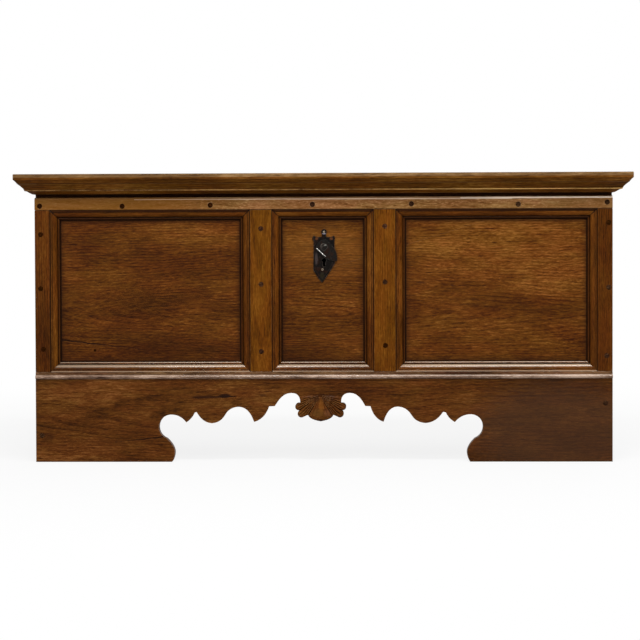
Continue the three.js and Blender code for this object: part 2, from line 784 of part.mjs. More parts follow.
function escutcheonShape() {
  const half = escutcheonWidth / 2;
  const tip = keyholeHeight - escutcheonBelowKeyhole;
  const shoulder = tip + escutcheonTaper;
  const height = keyholeHeight + escutcheonAboveKeyhole - shoulder;
  const s = escutcheonShares;
  const upper = ([across, up]) => [lockCentre + across * half, shoulder + up * height];
  const lower = (taper) => ([across, up]) =>
    [lockCentre + across * half + (1 - up) * escutcheonTipOffset, tip + up * taper];
  const right = lower(escutcheonRightTaper);
  const left = lower(escutcheonTaper);
  const mirrored = ([across, up]) => [-across, up];
  const shape = new THREE.Shape();
  const footAngle = Math.asin(s.finialFoot[0] * half / finialRadius);
  shape.moveTo(...right([0, 0]));
  shape.bezierCurveTo(...right(s.taperWaist), ...right(s.taperTurn), ...right([1, 1]));
  shape.lineTo(...upper(s.cornerTurn));
  shape.quadraticCurveTo(...upper(s.shoulderDip), ...upper(s.finialFoot));
  shape.absarc(lockCentre, finialHeight, finialRadius, footAngle - Math.PI / 2, Math.PI * 1.5 - footAngle,
    false);
  shape.lineTo(...upper(mirrored(s.finialFoot)));
  shape.quadraticCurveTo(...upper(mirrored(s.shoulderDip)), ...upper(mirrored(s.cornerTurn)));
  shape.lineTo(...left([-1, 1]));
  shape.bezierCurveTo(...left(mirrored(s.taperTurn)), ...left(mirrored(s.taperWaist)), ...left([0, 0]));
  return shape;
}

// A headed nail or rivet whose head lies in front of the given place
function headedPin(shankRadius, headRadius, headHeight, seatY, endY, x, z) {
  const points = [
    new THREE.Vector2(0, endY),
    new THREE.Vector2(shankRadius, endY),
    new THREE.Vector2(shankRadius, seatY),
    new THREE.Vector2(headRadius, seatY),
    new THREE.Vector2(headRadius * Math.SQRT1_2, seatY - headHeight * Math.SQRT1_2),
    new THREE.Vector2(0, seatY - headHeight),
  ];
  return new THREE.LatheGeometry(points.reverse(), pegSides).translate(x, 0, z);
}

const coverShares = { waist: 0.42, tipTurn: [0.86, 0.72] };

// The cover hangs down the outline's -Z from its pivot at the outline's origin
function coverShape() {
  const half = coverWidth / 2;
  const s = coverShares;
  const waist = -s.waist * coverBelow;
  const shape = new THREE.Shape();
  shape.moveTo(0, -coverBelow);
  shape.quadraticCurveTo(s.tipTurn[0] * half, -s.tipTurn[1] * coverBelow, half, waist);
  shape.lineTo(half, coverShoulder);
  shape.quadraticCurveTo(half, coverAbove, 0, coverAbove);
  shape.quadraticCurveTo(-half, coverAbove, -half, coverShoulder);
  shape.lineTo(-half, waist);
  shape.quadraticCurveTo(-s.tipTurn[0] * half, -s.tipTurn[1] * coverBelow, 0, -coverBelow);
  return shape;
}

function buildEscutcheon() {
  const back = panelY - fit;
  const front = back - plateIron;
  const plate = extrudeAlongY(escutcheonShape(), front, back);
  place(carcase, 'escutcheon', cut(plate, keyholeCutter(), ...nailHoles()), iron);
  const nailEnd = panelY + nailDepth;
  for (const [name, x, z] of nailPlaces) {
    const nail = headedPin(nailRadius, nailHeadRadius, nailHeadHeight, front - fit, nailEnd, x, z);
    place(carcase, name, nail, iron);
  }
  const coverBack = front - coverGap;
  const coverFront = coverBack - plateIron;
  const hole = cylinderAlongY(rivetRadius + fit, coverFront - overrun, coverBack + overrun, 0, 0);
  const cover = cut(extrudeAlongY(coverShape(), coverFront, coverBack), hole);
  const swung = cover.rotateY(-THREE.MathUtils.degToRad(coverRestDegrees));
  place(chest, 'keyhole_cover', swung.translate(lockCentre, 0, pivotHeight), iron);
  const rivet = headedPin(rivetRadius, rivetHeadRadius, nailHeadHeight, coverFront - fit, nailEnd, lockCentre,
    pivotHeight);
  place(carcase, 'cover_rivet', rivet, iron);
}

// Lock works inside: plate with bolt guides, bolt, spring, cover and the lid's staple
const plateBackY = frontInnerY + fit;
const plateFaceY = plateBackY + lockPlateThickness;
const boltY = plateFaceY + boltStandOff;

function boltGuide(x) {
  const depth = boltStandOff + boltThickness / 2 + guideGap + guideWall;
  const half = boltBar / 2 + guideGap;
  const reach = half + guideWall;
  const block = boxBetween(at(x - guideWidth / 2, plateFaceY - lockPlateThickness / 2, boltHeight - reach),
    at(x + guideWidth / 2, plateFaceY + depth, boltHeight + reach));
  const tunnel = boxBetween(
    at(x - guideWidth, boltY - boltThickness / 2 - guideGap, boltHeight - half),
    at(x + guideWidth, boltY + boltThickness / 2 + guideGap, boltHeight + half));
  return cut(block, tunnel);
}

function boltShape() {
  const tip = -stapleWidth / 2 - boltTipGap;
  const low = boltHeight - boltBar / 2;
  const high = boltHeight + boltBar / 2;
  const footBottom = keyholeHeight + footAboveKeyhole;
  const footTop = footBottom + boltFootHeight;
  const armInner = boltArmWidth - boltArmOuter;
  const talonRight = boltFootReach / 2;
  const boltTail = guideOuter + guideWidth / 2 + boltTravel + boltTailSpare;
  const points = [
    [-boltTail, low], [-boltArmOuter, low], [-boltArmOuter, footBottom],
    [talonRight - talonWidth, footBottom], [talonRight - talonWidth, footBottom + talonDepth],
    [talonRight, footBottom + talonDepth], [talonRight, footBottom],
    [boltFootReach, footBottom], [boltFootReach, footTop], [armInner, footTop],
    [armInner, low], [tip, low], [tip, high], [-boltTail, high],
  ];
  return new THREE.Shape(points.map(([x, z]) => new THREE.Vector2(lockCentre + x, z)));
}

function springShape() {
  const middle = lockCentre - (guideOuter + guideInner) / 2;
  const low = boltHeight + boltBar / 2 + fit;
  const half = springSpan / 2;
  const high = low + springRise;
  const dip = low - springRise;
  const shape = new THREE.Shape();
  shape.moveTo(middle - half, high);
  shape.quadraticCurveTo(middle, dip, middle + half, high);
  shape.lineTo(middle + half, high + springThickness);
  shape.quadraticCurveTo(middle, dip + springThickness, middle - half, high + springThickness);
  return shape;
}

function stapleShape() {
  const halfDepth = stapleEyeDepth / 2 + stapleWall;
  const top = rimHeight - ironThickness / 2;
  const eyeLow = boltHeight - stapleEyeHeight / 2;
  const bottom = eyeLow - stapleWall;
  const shape = new THREE.Shape();
  shape.moveTo(boltY - halfDepth, top);
  shape.lineTo(boltY - halfDepth, bottom + halfDepth);
  shape.quadraticCurveTo(boltY - halfDepth, bottom, boltY, bottom);
  shape.quadraticCurveTo(boltY + halfDepth, bottom, boltY + halfDepth, bottom + halfDepth);
  shape.lineTo(boltY + halfDepth, top);
  const eye = new THREE.Path();
  eye.moveTo(boltY - stapleEyeDepth / 2, eyeLow);
  eye.lineTo(boltY + stapleEyeDepth / 2, eyeLow);
  eye.lineTo(boltY + stapleEyeDepth / 2, eyeLow + stapleEyeHeight);
  eye.lineTo(boltY - stapleEyeDepth / 2, eyeLow + stapleEyeHeight);
  shape.holes.push(eye);
  return shape;
}

function lockCover() {
  const left = lockCentre - caseLeft;
  const right = lockCentre + caseRight;
  const near = plateFaceY + fit;
  const far = near + caseDepth;
  const bottom = keyholeHeight - caseBelowKeyhole;
  const top = boltHeight - caseBelowBolt;
  const shell = boxBetween(at(left, near, bottom), at(right, far, top));
  const hollow = boxBetween(at(left + caseWall, near - overrun, bottom + caseWall),
    at(right - caseWall, far - caseWall, top + overrun));
  const keyTip = cylinderAlongY(keyTipRadius, far - overrun, far + overrun, lockCentre, keyholeHeight);
  return cut(shell, hollow, keyTip);
}

function buildLockWorks() {
  const half = lockPlateWidth / 2;
  const plate = boxBetween(
    at(lockCentre - half, plateBackY, keyholeHeight - lockPlateBelowKeyhole),
    at(lockCentre + half, plateFaceY, lidUnderside - lockPlateBelowLid));
  const guides = [boltGuide(lockCentre - guideOuter), boltGuide(lockCentre - guideInner)];
  place(carcase, 'lock_plate', cut(join(plate, ...guides), keyholeCutter()), iron);
  const bolt = extrudeAlongY(boltShape(), boltY - boltThickness / 2, boltY + boltThickness / 2);
  place(chest, 'lock_bolt', bolt, iron);
  const spring = extrudeAlongY(springShape(), plateFaceY + fit, boltY + boltThickness / 2);
  place(carcase, 'bolt_spring', spring, iron);
  place(carcase, 'lock_cover', lockCover(), iron);
  const loop = extrudeAlongX(stapleShape(), lockCentre - stapleWidth / 2, lockCentre + stapleWidth / 2);
  const flange = boxBetween(
    at(lockCentre - staplePlateWidth / 2, boltY - staplePlateDepth / 2, rimHeight - ironThickness),
    at(lockCentre + staplePlateWidth / 2, boltY + staplePlateDepth / 2, rimHeight));
  place(lid, 'lid_staple', join(flange, loop), iron);
}

buildPlinth();
buildStrips();
buildPanelMouldings();
buildBoards();
buildPegs();
buildLidBoards();
buildCornice();
buildBattens();
buildHinge('left', -hingeCentre);
buildHinge('right', hingeCentre);
buildEscutcheon();
buildLockWorks();

export default chest;
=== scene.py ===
import math

import bmesh
import bpy
from mathutils import Euler, Matrix, Vector


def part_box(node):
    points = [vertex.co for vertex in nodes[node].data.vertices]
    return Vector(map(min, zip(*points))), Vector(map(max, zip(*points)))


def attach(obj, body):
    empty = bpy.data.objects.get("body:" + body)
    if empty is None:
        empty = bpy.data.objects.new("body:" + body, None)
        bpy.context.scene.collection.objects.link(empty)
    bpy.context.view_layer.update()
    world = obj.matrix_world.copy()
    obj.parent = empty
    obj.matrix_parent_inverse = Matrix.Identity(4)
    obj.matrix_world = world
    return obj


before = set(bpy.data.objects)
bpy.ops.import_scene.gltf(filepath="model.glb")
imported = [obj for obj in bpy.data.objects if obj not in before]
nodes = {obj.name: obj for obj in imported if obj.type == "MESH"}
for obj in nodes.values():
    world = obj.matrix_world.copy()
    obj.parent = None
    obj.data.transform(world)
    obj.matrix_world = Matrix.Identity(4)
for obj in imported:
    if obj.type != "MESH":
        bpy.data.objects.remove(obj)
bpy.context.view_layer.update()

panels = ("left", "centre", "right")
print("frame loaded with", len(nodes), "nodes")


# Small helpers for shader trees
def paint(*levels):  # a colour as a paint program gives it: red, green and blue from 0 to 255
    parts = [level / 255 for level in levels]
    linear = [part / 12.92 if part <= 0.04045 else ((part + 0.055) / 1.055) ** 2.4 for part in parts]
    return (*linear, 1)


def tones(deep, dark, mid, light):
    return {"deep": paint(*deep), "dark": paint(*dark), "mid": paint(*mid), "light": paint(*light)}


def feed(socket, value):
    if isinstance(value, bpy.types.NodeSocket):
        socket.id_data.links.new(value, socket)
    else:
        socket.default_value = value


# Makes a node in the tree that its inputs come from
def makeNode(kind, inputs, **settings):
    tree = next(value.id_data for value in inputs.values() if isinstance(value, bpy.types.NodeSocket))
    node = tree.nodes.new(kind)
    for name, value in settings.items():
        setattr(node, name, value)
    for name, value in inputs.items():
        feed(node.inputs[name], value)
    return node.outputs


def calc(operation, first, second=0.0, clamp=False):
    return makeNode("ShaderNodeMath", {0: first, 1: second}, operation=operation, use_clamp=clamp)[0]


def times(first, second):
    return calc("MULTIPLY", first, second)


def plus(first, second, clamp=False):
    return calc("ADD", first, second, clamp)


def minus(first, second):
    return calc("SUBTRACT", first, second)


def calcVector(operation, first, second=(0, 0, 0), result="Vector"):
    return makeNode("ShaderNodeVectorMath", {0: first, 1: second}, operation=operation)[result]


def stretch(vector, factors):
    return calcVector("MULTIPLY", vector, factors)


def along(vector, axis):
    return makeNode("ShaderNodeSeparateXYZ", {0: vector})[axis]


def noise(vector, scale, seed, detail, roughness, result="Fac"):
    inputs = {"Vector": vector, "W": seed, "Scale": scale, "Detail": detail, "Roughness": roughness}
    return makeNode("ShaderNodeTexNoise", inputs, noise_dimensions="4D")[result]


def remap(value, low, high, newLow=0.0, newHigh=1.0):
    inputs = {"Value": value, "From Min": low, "From Max": high, "To Min": newLow, "To Max": newHigh}
    return makeNode("ShaderNodeMapRange", inputs, interpolation_type="SMOOTHSTEP")["Result"]


def mixColours(factor, first, second, mode="MIX"):
    inputs = {"Factor": factor, "A": first, "B": second}
    return makeNode("ShaderNodeMix", inputs, data_type="RGBA", blend_type=mode)["Result"]


# Inputs come with their usual values. Every output is a number.
def newGroup(name, inputs, outputs):
    group = bpy.data.node_groups.new(name, "ShaderNodeTree")
    for label, value in inputs.items():
        kind = "NodeSocketVector" if isinstance(value, tuple) else "NodeSocketFloat"
        group.interface.new_socket(label, in_out="INPUT", socket_type=kind).default_value = value
    for label in outputs:
        group.interface.new_socket(label, in_out="OUTPUT", socket_type="NodeSocketFloat")
    return group, group.nodes.new("NodeGroupInput").outputs, group.nodes.new("NodeGroupOutput").inputs


def useGroup(group, **values):
    return makeNode("ShaderNodeGroup", values, node_tree=group)


def newMaterial(name):
    material = bpy.data.materials.new(name)
    material.use_nodes = True
    return material, material.node_tree, material.node_tree.nodes["Principled BSDF"]


def addBump(shader, height, strength, distance):
    inputs = {"Strength": strength, "Distance": distance, "Height": height}
    feed(shader.inputs["Normal"], makeNode("ShaderNodeBump", inputs)[0])


# How fine each part of the grain is, in waves per metre along the tree and across it
grainScales = {
    "drift": (1.8, 8, 8), "broken": (12, 60, 60), "wideFibre": (27, 360, 360), "thinFibre": (80, 820, 820),
    "pores": (48, 520, 520), "flecks": (120, 260, 460), "patches": (4, 13, 13), "hues": (9, 34, 34),
    "waves": (14, 38, 38),
}


# Grain of one board. The vector's X runs along the tree, in metres from its heart.
def makeWoodGrain():
    group, given, out = newGroup(
        "woodGrain", {"Vector": (0, 0, 0), "Rings": 0.008, "Wander": 0.02, "Seed": 0},
        ("Rings", "Fibre", "Pores", "Flecks", "Patches", "Hues", "Waves"))
    place, seed = given["Vector"], given["Seed"]

    def scaled(name, vector, detail, roughness, result="Fac", seed=seed):
        return noise(stretch(vector, grainScales[name]), 1, seed, detail, roughness, result)

    drift = scaled("drift", place, 3, 0.5, "Color")
    drift = calcVector("SUBTRACT", drift, (0.5, 0.5, 0.5))
    drift = calcVector("MULTIPLY", drift, given["Wander"])
    bent = calcVector("ADD", place, drift)
    radius = calcVector("LENGTH", stretch(bent, (0, 1, 1)), result="Value")
    year = calc("FRACT", calc("DIVIDE", radius, given["Rings"]))
    ringLine = times(remap(year, 0.4, 0.9), remap(year, 0.92, 1.0, 1, 0))
    ringLine = times(ringLine, remap(scaled("broken", bent, 2, 0.6), 0.35, 0.62, 0.25, 1))
    feed(out["Rings"], ringLine)
    fibre = times(plus(scaled("wideFibre", bent, 3, 0.6), scaled("thinFibre", bent, 2, 0.6)), 0.5)
    feed(out["Fibre"], remap(fibre, 0.32, 0.68))
    pores = remap(scaled("pores", bent, 1, 0.5), 0.56, 0.7)
    feed(out["Pores"], times(pores, remap(ringLine, 0, 1, 0.4, 1)))
    feed(out["Flecks"], remap(scaled("flecks", place, 2, 0.6), 0.5, 0.7))
    feed(out["Patches"], remap(scaled("patches", place, 4, 0.6), 0.3, 0.7))
    feed(out["Hues"], remap(scaled("hues", place, 5, 0.62, seed=plus(seed, 0.5)), 0.36, 0.64))
    feed(out["Waves"], scaled("waves", place, 2, 0.5))
    return group


# Dirt and painted shade in corners and seams, rubbed edges and sides that face up, each broken up by noise
def makeAgeingAndShade():
    group, given, out = newGroup(
        "ageingAndShade", {"Vector": (0, 0, 0), "Normal": (0, 0, 1), "Corner": 0.012, "Edge": 0.004, "Seed": 0},
        ("GrimeAndShade", "Seam", "Wear", "Upper"))

    def occlusion(inside, distance):
        return makeNode("ShaderNodeAmbientOcclusion", {"Distance": distance}, samples=6, inside=inside,
                        only_local=inside)["AO"]

    broken = noise(given["Vector"], 70, given["Seed"], 4, 0.65)
    uneven = times(minus(broken, 0.5), 0.3)
    # Occlusion finds the corners and seams that take dirt and painted shade
    wideOpen = plus(occlusion(False, given["Corner"]), uneven)
    feed(out["GrimeAndShade"], remap(wideOpen, 0.4, 0.98, 1, 0))
    nearOpen = plus(occlusion(False, times(given["Corner"], 0.35)), uneven)
    feed(out["Seam"], remap(nearOpen, 0.4, 0.85, 1, 0))
    thin = minus(1.0, occlusion(True, given["Edge"]))
    feed(out["Wear"], remap(times(thin, remap(broken, 0.3, 0.7, 0.35, 1.25)), 0.2, 0.55))
    feed(out["Upper"], remap(plus(along(given["Normal"], "Z"), uneven), 0.22, 0.62))
    return group


# A split in the front, drawn from one place to another and thinning out towards the end
def makeSplit():
    group, given, out = newGroup(
        "split", {"Vector": (0, 0, 0), "Start": (0, 0, 0), "End": (1, 0, 0), "Width": 0.001, "Wobble": 0.002},
        ("Mask",))
    wobble = noise(stretch(given["Vector"], (55, 0, 55)), 1, 3, 2, 0.5, "Color")
    wobble = calcVector("SUBTRACT", wobble, (0.5, 0.5, 0.5))
    moved = calcVector("ADD", given["Vector"], calcVector("MULTIPLY", wobble, given["Wobble"]))
    across = stretch(calcVector("SUBTRACT", moved, given["Start"]), (1, 0, 1))
    line = stretch(calcVector("SUBTRACT", given["End"], given["Start"]), (1, 0, 1))
    share = calc("DIVIDE", calcVector("DOT_PRODUCT", across, line, "Value"),
                 calcVector("DOT_PRODUCT", line, line, "Value"), True)
    foot = makeNode("ShaderNodeVectorMath", {0: line, "Scale": share}, operation="SCALE")[0]
    gap = calcVector("DISTANCE", across, foot, "Value")
    width = times(given["Width"], remap(share, 0.0, 1.0, 1, 0.3))
    feed(out["Mask"], remap(gap, times(width, 0.4), width, 1, 0))
    return group


# A spot or streak, as an uneven ellipse
def makeSpot():
    group, given, out = newGroup(
        "spot", {"Vector": (0, 0, 0), "Centre": (0, 0, 0), "Size": (1, 1, 1), "Ragged": 0.6}, ("Mask",))
    away = calcVector("SUBTRACT", given["Vector"], given["Centre"])
    away = stretch(calcVector("DIVIDE", away, given["Size"]), (1, 0, 1))
    ragged = noise(stretch(given["Vector"], (45, 160, 260)), 1, 7, 3, 0.6)
    ragged = times(minus(ragged, 0.5), given["Ragged"])
    radius = plus(calcVector("LENGTH", away, result="Value"), ragged)
    feed(out["Mask"], remap(radius, 0.45, 1.0, 1, 0))
    return group


# How far a place on the front lies outside the nearest panel, below 0 within it.
# The mouldings end where it is 0.
def makePanelDistance():
    group, given, out = newGroup("panelDistance", {"Vector": (0, 0, 0)}, ("Distance",))
    nearest = None
    for panel in panels:
        low = (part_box(f"{panel}_panel_left_moulding")[1].x, 0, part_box(f"{panel}_panel_bottom_moulding")[1].z)
        high = (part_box(f"{panel}_panel_right_moulding")[0].x, 0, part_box(f"{panel}_panel_top_moulding")[0].z)
        centre = [(first + second) / 2 for first, second in zip(low, high)]
        half = [(second - first) / 2 for first, second in zip(low, high)]
        away = calcVector("ABSOLUTE", calcVector("SUBTRACT", given["Vector"], centre))
        apart = calcVector("SUBTRACT", away, half)
        outside = calc("MAXIMUM", along(apart, "X"), along(apart, "Z"))
        nearest = calc("MINIMUM", nearest, outside) if nearest else outside
    feed(out["Distance"], nearest)
    return group


woodGrain, ageingAndShade, split, spot = makeWoodGrain(), makeAgeingAndShade(), makeSplit(), makeSpot()
panelDistance = makePanelDistance()
print("shader groups made")

grainTurns = {"X": (0, 0, 0), "Y": (0, 0, -math.pi / 2), "Z": (0, math.pi / 2, 0)}

# What every oak surface starts from. A board's own dictionary changes what is special about it.
oakBase = {
    **tones((44, 19, 4), (72, 37, 8), (98, 56, 14), (134, 86, 34)),
    "worn": paint(158, 118, 74), "grimeShadeAndCrackColour": paint(18, 8, 4), "dustAndSheenColour": paint(150, 126, 100),
    "along": "X", "heart": (0, 0, 0.3), "tilt": 0.05, "wander": 0.03, "ringStrength": 0.2,
    "fibreStrength": 0.42, "patchStrength": 0.36, "poreStrength": 0.34, "fleckStrength": 0.0,
    "tone": 0.56, "toneAndLightLeft": 0.0, "toneAndLightRight": 0.0, "lightLow": 0.0, "lightHigh": 0.0,
    "corner": 0.014, "grimeAndShade": 0.5, "seamShade": 0.9, "edge": 0.003, "wear": 0.35, "dustAndSheen": 0.0,
    "hues": 0.6, "reddish": (1.06, 0.95, 0.92, 1), "yellowish": (0.94, 1.08, 0.86, 1),
    "roughness": 0.45, "specular": 0.03, "coatOnWear": 0.3, "coatOnUpper": 0.25, "coatRoughness": 0.3,
    "bump": 0.3, "splits": [], "highlightAndJointLines": [], "spots": [], "zones": [], "paintedLightLines": [], "polishAndSheen": [],
    "marksBefore": None,
}
# What raises and lowers the surface, and what makes it rougher or smoother
oakRelief = {"fibre": 0.35, "waves": 2.2, "pores": 0.8, "splits": 3.0, "depth": 0.001}
oakPolish = {"smoothest": -0.08, "pores": 0.12, "dirtAndShade": 0.3, "patches": 0.12}
# Where the tone and painted light shifts, and the polish with its painted sheen, run from one end to the other,
# in metres
toneAndLightSpans = (("X", -0.6, 0.6, "toneAndLightLeft", "toneAndLightRight"), ("Z", 0.2, 0.62, "lightLow", "lightHigh"))
sheenReach = 0.7
zoneBlur = 0.0008
rawOak = {"deep": paint(70, 46, 25), "mid": paint(132, 100, 62), "light": paint(166, 134, 92)}


def colourRamp(level, stops):
    ramp = level.id_data.nodes.new("ShaderNodeValToRGB")
    feed(ramp.inputs[0], level)
    elements = ramp.color_ramp.elements
    elements[0].position, elements[0].color = stops[0]
    elements[1].position, elements[1].color = stops[-1]
    for position, colour in stops[1:-1]:
        elements.new(position).color = colour
    return ramp.outputs[0]


def addSpots(place, colour, spots, marks):
    for centre, size, strength, stain in spots:
        mask = useGroup(spot, Vector=place, Centre=centre, Size=size)["Mask"]
        colour = mixColours(times(times(mask, marks), strength), colour, stain)
    return colour


def oakMaterial(name, changes):
    looks = {**oakBase, **changes}
    material, tree, shader = newMaterial(name)
    where = tree.nodes.new("ShaderNodeTexCoord")
    place = where.outputs["Object"]
    fromHeart = calcVector("SUBTRACT", place, looks["heart"])
    turn = {"Vector": fromHeart, "Rotation": grainTurns[looks["along"]]}
    turned = makeNode("ShaderNodeVectorRotate", turn, rotation_type="EULER_XYZ")[0]
    tilt = {"Vector": turned, "Angle": looks["tilt"]}
    tilted = makeNode("ShaderNodeVectorRotate", tilt, rotation_type="Z_AXIS")[0]
    grain = useGroup(woodGrain, Vector=tilted, Rings=looks["rings"], Wander=looks["wander"],
                     Seed=float(looks["seed"]))
    ageAndShade = useGroup(ageingAndShade, Vector=place, Normal=where.outputs["Normal"], Corner=looks["corner"],
                   Edge=looks["edge"], Seed=float(looks["seed"]))

    def swing(value, strength):
        return times(minus(value, 0.5), strength)

    def lineMask(start, end, width, wobble):
        return useGroup(split, Vector=place, Start=start, End=end, Width=width, Wobble=wobble)["Mask"]

    level = plus(swing(grain["Fibre"], looks["fibreStrength"]), looks["tone"])
    level = plus(level, swing(grain["Patches"], looks["patchStrength"]))
    level = minus(level, times(grain["Rings"], looks["ringStrength"]))
    level = minus(level, times(grain["Pores"], looks["poreStrength"]))
    level = plus(level, times(grain["Flecks"], looks["fleckStrength"]))
    for axis, low, high, first, last in toneAndLightSpans:
        if looks[first] or looks[last]:
            level = plus(level, remap(along(place, axis), low, high, looks[first], looks[last]))
    colour = colourRamp(level, [(0, looks["deep"]), (0.3, looks["dark"]), (0.6, looks["mid"]),
                                (1, looks["light"])])
    hueTint = mixColours(grain["Hues"], looks["reddish"], looks["yellowish"])
    colour = mixColours(looks["hues"], colour, hueTint, "MULTIPLY")
    for planes, bare in looks["zones"]:
        other = colourRamp(level, [(0, bare["deep"]), (0.55, bare["mid"]), (1, bare["light"])])
        mask = 1.0
        for outward, limit in planes:
            depth = calcVector("DOT_PRODUCT", place, outward, "Value")
            mask = times(remap(depth, limit - zoneBlur, limit + zoneBlur), mask)
        colour = mixColours(mask, colour, other)
    wear = times(ageAndShade["Wear"], looks["wear"])
    colour = mixColours(wear, colour, looks["worn"])
    upper = ageAndShade["Upper"]
    if looks["polishAndSheen"]:  # pairs of a place from left to right and how strong the painted sheen and the coat on the upper sides are there
        across = remap(along(place, "X"), -sheenReach, sheenReach)
        sheenAcross = colourRamp(across, [(x, (much, much, much, 1)) for x, much in looks["polishAndSheen"]])
        upper = times(upper, sheenAcross)
    # Sides that face up are paled with dust and a painted highlight
    if looks["dustAndSheen"]:
        colour = mixColours(times(upper, looks["dustAndSheen"]), colour, looks["dustAndSheenColour"])
    # Dirt and painted shade in corners and seams
    dirtAndShade = calc("MAXIMUM", times(ageAndShade["GrimeAndShade"], looks["grimeAndShade"]), times(ageAndShade["Seam"], looks["seamShade"]))
    colour = mixColours(dirtAndShade, colour, looks["grimeShadeAndCrackColour"])
    depth = plus(times(grain["Fibre"], oakRelief["fibre"]), times(grain["Waves"], oakRelief["waves"]))
    depth = minus(depth, times(grain["Pores"], oakRelief["pores"]))
    marks = 1.0  # where splits, spots and the painted light lines may show
    if looks["marksBefore"] is not None:
        limit = looks["marksBefore"]
        marks = remap(along(place, "Y"), limit - zoneBlur, limit + zoneBlur, 1, 0)
    for line in looks["splits"]:
        mask = times(lineMask(*line), marks)
        colour = mixColours(mask, colour, looks["grimeShadeAndCrackColour"])
        depth = minus(depth, times(mask, oakRelief["splits"]))
    colour = addSpots(place, colour, looks["spots"], marks)
    # Lines of painted highlight, and dark joint lines
    for *line, strength, tint in looks["highlightAndJointLines"]:
        uneven = remap(grain["Patches"], 0.0, 1.0, 0.5 * strength, strength)
        colour = mixColours(times(lineMask(*line), uneven), colour, tint)
    # Lines of painted shade and painted highlight at given distances from the panels
    if looks["paintedLightLines"]:
        distance = useGroup(panelDistance, Vector=place)["Distance"]
    for start, end, soft, strength, tint in looks["paintedLightLines"]:
        mask = times(remap(distance, start - soft, start), remap(distance, end, end + soft, 1, 0))
        uneven = remap(grain["Patches"], 0.0, 1.0, 0.75 * strength, strength)
        colour = mixColours(times(times(mask, uneven), marks), colour, tint)
    feed(shader.inputs["Base Color"], colour)
    rough = looks["roughness"] + oakPolish["smoothest"]
    for mask, strength in ((grain["Pores"], "pores"), (dirtAndShade, "dirtAndShade"), (grain["Patches"], "patches")):
        rough = plus(rough, times(mask, oakPolish[strength]))
    feed(shader.inputs["Roughness"], rough)
    if looks["coatOnWear"] or looks["coatOnUpper"]:
        coat = plus(times(wear, looks["coatOnWear"]), times(upper, looks["coatOnUpper"]), True)
        feed(shader.inputs["Coat Weight"], times(coat, minus(1.0, ageAndShade["Seam"])))
        shader.inputs["Coat Roughness"].default_value = looks["coatRoughness"]
    shader.inputs["Specular IOR Level"].default_value = looks["specular"]
    addBump(shader, depth, looks["bump"], oakRelief["depth"])
    return material


# What every iron surface starts from. Pitting and stains are in waves per metre.
ironBase = {
    "colour": paint(12, 9, 7), "rust": paint(34, 17, 9), "bright": paint(120, 110, 100),
    "seamShadeColour": paint(5, 4, 3), "roughness": 0.38, "roughest": 0.15, "smoothest": -0.1, "specular": 0.25,
    "edge": 0.0014, "wear": 0.5, "corner": 0.006, "pitting": 190, "pitLight": 0.08, "stains": 60,
    "stainRelief": 1.5, "bump": 0.5, "bumpDepth": 0.0007, "metallic": 0.85, "seamMetallic": 0.2, "spots": [],
}


def ironMaterial(name, changes):
    looks = {**ironBase, **changes}
    material, tree, shader = newMaterial(name)
    where = tree.nodes.new("ShaderNodeTexCoord")
    place = where.outputs["Object"]
    ageAndShade = useGroup(ageingAndShade, Vector=place, Normal=where.outputs["Normal"], Corner=looks["corner"],
                   Edge=looks["edge"], Seed=5.0)
    pits = noise(place, looks["pitting"], 2, 4, 0.65)
    stains = noise(place, looks["stains"], 4, 3, 0.6)
    colour = mixColours(remap(stains, 0.48, 0.7), looks["colour"], looks["rust"])
    colour = mixColours(remap(pits, 0.52, 0.74, 0, looks["pitLight"]), colour, looks["bright"])
    colour = mixColours(times(ageAndShade["Wear"], looks["wear"]), colour, looks["bright"])
    # Painted shade in the seams
    colour = mixColours(ageAndShade["Seam"], colour, looks["seamShadeColour"])
    colour = addSpots(place, colour, looks["spots"], 1.0)
    feed(shader.inputs["Base Color"], colour)
    feed(shader.inputs["Metallic"], remap(ageAndShade["Seam"], 0.2, 0.9, looks["metallic"], looks["seamMetallic"]))
    rougher, smoother = looks["roughness"] + looks["roughest"], looks["roughness"] + looks["smoothest"]
    feed(shader.inputs["Roughness"], remap(pits, 0.3, 0.75, rougher, smoother))
    shader.inputs["Specular IOR Level"].default_value = looks["specular"]
    height = plus(pits, times(stains, looks["stainRelief"]))
    addBump(shader, height, looks["bump"], looks["bumpDepth"])
    return material


# Gives CAD nodes their finish, soft edges and even shading
def dress(names, material, edgeWidth=0.0012, segments=2):
    for name in names:
        piece = nodes[name]
        for slot in piece.material_slots:
            slot.material = material
        softenEdges(piece, edgeWidth, segments)


softening = {"weldWithin": 0.00002, "sharperThan": math.radians(33), "sharpNewEdge": math.radians(40),
             "flatWeight": 80}


def softenEdges(piece, edgeWidth, segments):
    mesh = piece.data
    for layer in ("custom_normal", "sharp_face", "sharp_edge"):
        if layer in mesh.attributes:
            mesh.attributes.remove(mesh.attributes[layer])
    mesh.shade_smooth()
    weld = piece.modifiers.new("weld", "WELD")
    weld.merge_threshold = softening["weldWithin"]
    bevel = piece.modifiers.new("softEdges", "BEVEL")
    bevel.width = edgeWidth
    bevel.segments = segments
    bevel.limit_method = "ANGLE"
    bevel.angle_limit = softening["sharperThan"]
    bevel.miter_outer = "MITER_ARC"
    even = piece.modifiers.new("evenShading", "WEIGHTED_NORMAL")
    even.mode = "FACE_AREA"
    even.weight = softening["flatWeight"]
    even.keep_sharp = True


def newPiece(name, bm, material, body):
    mesh = bpy.data.meshes.new(name)
    bmesh.ops.recalc_face_normals(bm, faces=bm.faces[:])
    bm.to_mesh(mesh)
    bm.free()
    piece = bpy.data.objects.new(name, mesh)
    bpy.context.scene.collection.objects.link(piece)
    mesh.materials.append(material)
    mesh.shade_smooth()
    mesh.set_sharp_from_angle(angle=softening["sharpNewEdge"])
    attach(piece, body)


